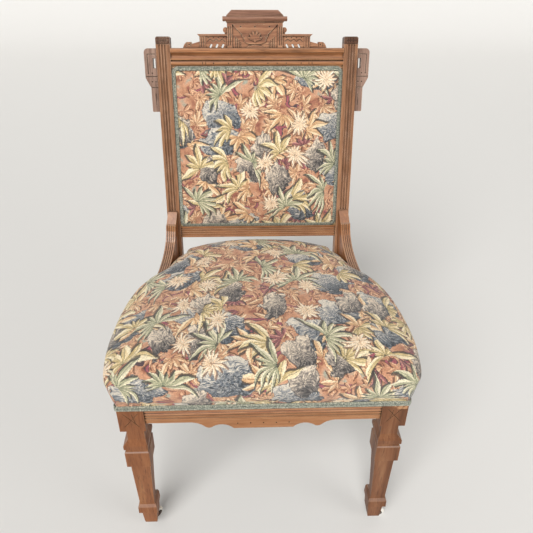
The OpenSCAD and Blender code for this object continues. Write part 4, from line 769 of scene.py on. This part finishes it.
for vertex in seatCushion.data.vertices:
    x, y, z = (c / mm for c in vertex.co)
    y -= chair["frontShift"]
    if z > railTop + 2 and vertex.index < first:
        uneven = noise.noise(Vector((x, y, z)) / 55) * 1.6 + noise.noise(Vector((x, y, z)) / 21) * 0.5
        z += uneven * min(1, (z - railTop) / 40)
        # Small gathers over the line of tacks
        gather = exp(-(z - railTop) / 16) * 0.9 * sin((x + 1.4 * y) / 4.3 + 2 * noise.noise(
            Vector((x, y, 0)) / 30))
        x += gather * 0.5 * (1 if x > 0 else -1)
        y -= gather * 0.5
    x, y = clearOfFrame(x, y)
    vertex.co = seatPoint(x, y, z)
smooth = seatCushion.modifiers.new("smooth", "SUBSURF")
smooth.levels = smooth.render_levels = 1
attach(seatCushion, "frame")
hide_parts("seat_cover", "seat_stuffing", "seat_hessian")

print("back pad")
# Inset from the edge of the panel and depth in front of the posts' face, over the pad and under it
backLook = dict(press=0.004, pressure=2.5, cornerRadius=7, crown=-25.2)
backProfile = [(0.3, 5.9), (0.4, 4.4), (3.5, 1.4), (6.6, -2.0), (10, -5.2), (14, -8.2), (20, -11.4),
               (38, -16.2), (66, -20.6), (102, -23.5), (140, -24.9)]
backSeam = panelFront - 3.1
backUnder = [(0.6, panelFront), (11.6, panelFront - 0.05), (12.2, backSeam), (60, backSeam), (140, backSeam)]
upMiddle = panelLow + panelSpan / 2


def roundedPanel(inset, radius, straight, turns):
    # Points of a rectangle with round corners, anticlockwise from the front, about its middle
    hx, hz = postIn - inset, panelSpan / 2 - inset
    radius = min(max(radius, 0.5), 0.8 * min(hx, hz))
    corners = ((1, 1), (-1, 1), (-1, -1), (1, -1))

    def spot(corner, degrees):
        a = radians(degrees)
        return (corner[0] * (hx - radius) + radius * cos(a),
                corner[1] * (hz - radius) + radius * sin(a))

    line = []
    for i, corner in enumerate(corners):
        line += [spot(corner, 90 * i + 90 * t / turns) for t in range(turns + 1)]
        begin, goal = line[-1], spot(corners[(i + 1) % 4], 90 * i + 90)
        line += [tuple(b + (g - b) * s / straight for b, g in zip(begin, goal)) for s in range(1, straight)]
    return line


profile = [(*p, backLook["cornerRadius"] + p[0] * 0.8) for p in smoothLine(backProfile, 2)]
points, uvs = [], []
for rings, middle in ((profile, backLook["crown"]),
                      ([(*p, backLook["cornerRadius"]) for p in backUnder], backSeam)):
    for inset, depth, radius in rings:
        for x, up in roundedPanel(inset, radius, 30, 6):
            points.append(backPoint(x, depth, up + upMiddle))
            uvs.append((x * mm, (up + upMiddle) * mm))
    points.append(backPoint(0, middle, upMiddle))
    uvs.append((0, upMiddle * mm))
ringCount = len(roundedPanel(1, 4, 30, 6))
faces, first = padFaces(len(profile), len(backUnder), ringCount)
backPad = newPiece("back_pad", points, faces, backTapestry, "tapestry", uvs)
tacked = list(range(4 * ringCount)) + list(range(first, len(points)))
pressCloth(backPad, tacked, backLook["press"], backLook["pressure"])
for vertex in backPad.data.vertices:
    if 5 * ringCount < vertex.index < first:
        spot = vertex.co / mm
        uneven = noise.noise(spot / 48) * 1.5 + noise.noise(spot / 19) * 0.4
        vertex.co += Vector((0, -0.8, 0.2)) * uneven * mm
smooth = backPad.modifiers.new("smooth", "SUBSURF")
smooth.levels = smooth.render_levels = 1
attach(backPad, "frame")
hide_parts("back_cover", "back_stuffing", "back_hessian")

print("gimp")


def evenPath(corners, step, closed):
    # Points a step apart along a line of corners
    corners = [np.array(c, float) for c in corners] + ([np.array(corners[0], float)] if closed else [])
    run = np.concatenate(([0], np.cumsum([np.linalg.norm(b - a) for a, b in zip(corners, corners[1:])])))
    count = round(run[-1] / step)
    marks = np.linspace(0, run[-1], count + 1)[:count if closed else None]
    return np.column_stack([np.interp(marks, run, [c[i] for c in corners]) for i in range(len(corners[0]))])


def tubeEnds(first, count, sides, closed):
    # Joins the last row of a tube to its first, or closes its two ends
    end = first + (count - 1) * sides
    if closed:
        return [(end + s, end + (s + 1) % sides, first + (s + 1) % sides, first + s) for s in range(sides)]
    return [tuple(range(first, first + sides)), tuple(range(end, end + sides))]


def directions(path, closed):
    # Way of a path at each of its points
    ahead = np.roll(path, -1, axis=0) - np.roll(path, 1, axis=0)
    if not closed:
        ahead[0], ahead[-1] = path[1] - path[0], path[-1] - path[-2]
    return unitRows(ahead)


def braid(name, path, across, face, look, closed, nodeName):
    # Flat braid along a path: three wavy cords plaited over each other, a straight cord along each
    # edge and a thin tape behind them. across points over the braid's width and face away from the frame
    count, sides = len(path), look["sides"]
    run = np.concatenate(([0], np.cumsum(np.linalg.norm(np.diff(path, axis=0), axis=1))))
    period = look["period"]
    if closed:
        whole = run[-1] + np.linalg.norm(path[0] - path[-1])
        period = whole / round(whole / period)
    points, faces = [], []
    edge = look["width"] / 2 - look["edgeRadius"]
    cords = [(look["radius"], look["swing"], look["lift"], 0, tau * k / 3) for k in range(3)]
    cords += [(look["edgeRadius"], 0, 0, side * edge, 0) for side in (-1, 1)]
    for radius, swing, lift, shift, phase in cords:
        wave = run / period * tau + phase
        middle = path + across * (swing * np.sin(wave) + shift)[:, None] \
            + face * (lift * np.cos(2 * wave) + look["base"])[:, None]
        sideways = unitRows(np.cross(directions(middle, closed), face))
        first = len(points)
        for i in range(count):
            for s in range(sides):
                a = tau * s / sides
                points.append(middle[i] + radius * (cos(a) * sideways[i]
                                                    + look["flat"] * sin(a) * face[i]))
        faces += ringFaces(count, sides, first) + tubeEnds(first, count, sides, closed)
    first = len(points)
    tapeHalf, tapeBack, tapeFront = look["width"] / 2 - 0.5 * mm, 0.1 * mm, 0.7 * mm
    for i in range(count):
        for s, depth in ((-1, tapeBack), (1, tapeBack), (1, tapeFront), (-1, tapeFront)):
            points.append(path[i] + across[i] * s * tapeHalf + face[i] * depth)
    faces += ringFaces(count, 4, first) + tubeEnds(first, count, 4, closed)
    piece = newPiece(name, points, faces, gimpYarn, "gimp")
    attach(piece, "frame")
    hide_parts(nodeName)


gimpLook = dict(width=13 * mm, period=11 * mm, swing=3.9 * mm, radius=1.5 * mm, lift=0.35 * mm,
                base=1.0 * mm, edgeRadius=0.9 * mm, flat=0.6, sides=6, step=1.4)
skin = chair["coverThickness"]
cornerCut = 1.3
rightHalf = [(sideX(chair["toe"]) + skin, chair["toe"] - 2), (halfWidth + skin, chair["legWidth"]),
             (halfWidth + skin, 3 - skin), (halfWidth + skin - cornerCut, -skin + cornerCut),
             (halfWidth - 3 + skin, -skin)]
plan = evenPath(rightHalf + [(-x, y) for x, y in rightHalf[::-1]], gimpLook["step"], False)
ahead = np.gradient(plan, axis=0)
face = -unitRows(np.column_stack((-ahead[:, 1], ahead[:, 0], np.zeros(len(plan)))))
if face[0, 0] < 0:
    face = -face
for axis in range(2):
    face[2:-2, axis] = np.convolve(face[:, axis], np.ones(5) / 5, "valid")
face = unitRows(face)
gimpHeight = railTop - chair["coverDrop"] - 1 + 6.5
path = np.array([seatPoint(x, y, gimpHeight + 0.4 * noise.noise(Vector((x, y, 0)) / 40)) for x, y in plan])
across = np.tile(np.array((0, 0, 1.0)), (len(path), 1))
braid("seat_gimp_braid", path, across, face, gimpLook, False, "seat_gimp")

# Round the back pad the gimp lies on the slope between the frame and the pad
backGimpLook = {**gimpLook, "width": 12 * mm, "swing": 3.5 * mm, "slope": radians(42)}
ring = evenPath(roundedPanel(5.2, 9, 6, 10), gimpLook["step"], True)
ahead = directions(ring, True)
inwards = np.column_stack((-ahead[:, 1], ahead[:, 0]))
if inwards[0] @ ring[0] > 0:
    inwards = -inwards
origin = np.array(backPoint(0, 0, 0))
toFront = np.array(backPoint(0, -1000, 0)) - origin
slope = backGimpLook["slope"]
path = np.array([backPoint(x, 0.2, up + upMiddle) for x, up in ring])
inSpace = inwards[:, :1] * np.array((1.0, 0, 0)) + inwards[:, 1:] * np.array(alongBack)
across = inSpace * cos(slope) + toFront * sin(slope)
face = toFront * cos(slope) - inSpace * sin(slope)
braid("back_gimp_braid", path, across, face, backGimpLook, True, "back_gimp")

print("webbing and cloth under the covers")


def slab(rows, thickness, normal):
    # Points and faces of a strip with two sides, from its rows of points
    rows = np.array(rows)
    count, wide = rows.shape[:2]
    points = list(rows.reshape(-1, 3)) + list((rows + np.array(normal) * thickness).reshape(-1, 3))
    faces = ringFaces(count, wide, 0, closed=False)
    low = count * wide
    faces += [tuple(low + i for i in reversed(f)) for f in faces]
    rim = list(range(wide)) + [k * wide + wide - 1 for k in range(1, count)]
    rim += [(count - 1) * wide + i for i in range(wide - 2, -1, -1)]
    rim += [k * wide for k in range(count - 2, 0, -1)]
    faces += [(b, a, low + a, low + b) for a, b in zip(rim, rim[1:] + rim[:1])]
    return points, faces


def wovenStrips(ways, marks, spot, thickness, normal):
    # Strips of webbing both ways, over and under each other. ways holds the strips' places and their two
    # ends, marks how many points each has, and spot gives a point from its place and the dip there
    points, faces = [], []
    for turn, (places, ends) in enumerate(ways):
        crossings = ways[1 - turn][0]
        for i, place in enumerate(places):
            rows = []
            for run in np.linspace(*ends(place), marks):
                dip = sum((i + j + turn) % 2 * exp(-((run - c) / 22) ** 4)
                          for j, c in enumerate(crossings))
                rows.append([spot(*((run, place - w) if turn else (place + w, run)), min(dip, 1))
                             for w in (-webHalf, -webInner, webInner, webHalf)])
            stripPoints, stripFaces = slab(rows, thickness, normal)
            faces += [tuple(len(points) + i for i in f) for f in stripFaces]
            points += stripPoints
    return points, faces


webLook = dict(width=50, seatThickness=1.5, backThickness=1.4, gap=82, strips=4, tuck=1.6,
               backTuck=1.5, edge=12)
webHalf, webInner = webLook["width"] / 2, 8
webEdge = webLook["edge"]
places = [(i - (webLook["strips"] - 1) / 2) * webLook["gap"] for i in range(webLook["strips"])]
crossings = [100 + i * webLook["gap"] for i in range(webLook["strips"])]
seatWebbing = newPiece("seat_webbing", *wovenStrips(
    [(places, lambda x: (14, seatBack - 3)),
     (crossings, lambda y: (-sideX(y + webHalf) + 3, sideX(y + webHalf) - 3))], 48,
    lambda x, y, dip: seatPoint(x, y, railBottom - webLook["tuck"] * (1 + dip)),
    webLook["seatThickness"] * mm, (0, 0, 1)), juteLinen, "linen")
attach(seatWebbing, "frame")
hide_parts("seat_webbing_long", "seat_webbing_cross")

places = [-postIn + webEdge + (i + 0.5) * (postIn - webEdge) / 2 for i in range(4)]
crossings = [panelLow + webEdge + (i + 0.5) * (panelSpan - 2 * webEdge) / 4 for i in range(4)]
outFront = tuple(backPoint(0, -1000, 0) - backPoint(0, 0, 0))
backWebbing = newPiece("back_webbing_strips", *wovenStrips(
    [(places, lambda x: (panelLow + webEdge, panelLow + panelSpan - webEdge)),
     (crossings, lambda up: (-postIn + webEdge, postIn - webEdge))], 40,
    lambda x, up, dip: backPoint(x, panelFront - webLook["backTuck"] * dip, up),
    webLook["backThickness"] * mm, outFront), juteLinen, "linen")
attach(backWebbing, "frame")
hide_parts("back_webbing")

# Outside back: the cover tacked over the back of the panel frame, drawn tight, in millimetres
outsideLook = dict(inset=0.3, gap=1.4, hollow=0.9, thickness=0.9, marks=40)
inset = outsideLook["inset"]
rows = []
for up in np.linspace(panelLow + inset, panelLow + panelSpan - inset, outsideLook["marks"]):
    row = []
    for x in np.linspace(-postIn + inset, postIn - inset, outsideLook["marks"]):
        hollow = cos(x / postIn * pi / 2) * sin((up - panelLow) / panelSpan * pi)
        row.append(backPoint(x, panelFront + chair["stileThickness"] + outsideLook["gap"]
                             - outsideLook["hollow"] * hollow, up))
    rows.append(row)
points, faces = slab(rows, outsideLook["thickness"] * mm, outFront)
outsideUvs = [(p[0], (Vector(p) - Vector(origin)).dot(alongBack)) for p in points]
outsideBack = newPiece("outside_back", points, faces, backTapestry, "tapestry", outsideUvs)
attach(outsideBack, "frame")
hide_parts("outside_back_cover")


def dustHalf(y):
    # Half width of the cambric under the seat
    if y < chair["legWidth"] + 4:
        return legIn
    return sideX(y) - 4 if y < seatDepth - 4 else postIn - 1


dustLook = dict(front=14, clear=0.8, sag=0.5, ripple=0.25, thickness=0.4)
dustFront, dustBack = dustLook["front"], seatBack - 4
dustTop = railBottom - 2 * webLook["tuck"] - dustLook["clear"] + dustLook["sag"]
marks = np.concatenate((np.linspace(dustFront, chair["legWidth"] + 3.9, 6),
                        np.linspace(chair["legWidth"] + 4.1, seatDepth - 4.1, 30),
                        np.linspace(seatDepth - 3.9, dustBack, 4)))
rows = []
for y in marks:
    row = []
    for t in np.linspace(-1, 1, 41):
        sag = (1 - t ** 4) * sin(min(max((y - dustFront) / (dustBack - dustFront), 0), 1) * pi)
        ripple = noise.noise(Vector((t * 5, y / 50, 0)))
        z = dustTop - dustLook["sag"] * sag + dustLook["ripple"] * ripple
        row.append(seatPoint(t * dustHalf(y), y, z))
    rows.append(row)
dustCover = newPiece("dust_cloth", *slab(rows, dustLook["thickness"] * mm, (0, 0, 1)), blackCambric,
                     "dust_cloth")
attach(dustCover, "frame")
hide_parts("dust_cover")
area = sum((dustHalf(a) + dustHalf(b)) * (b - a) for a, b in zip(marks, marks[1:])) * mm * mm

print("finish")
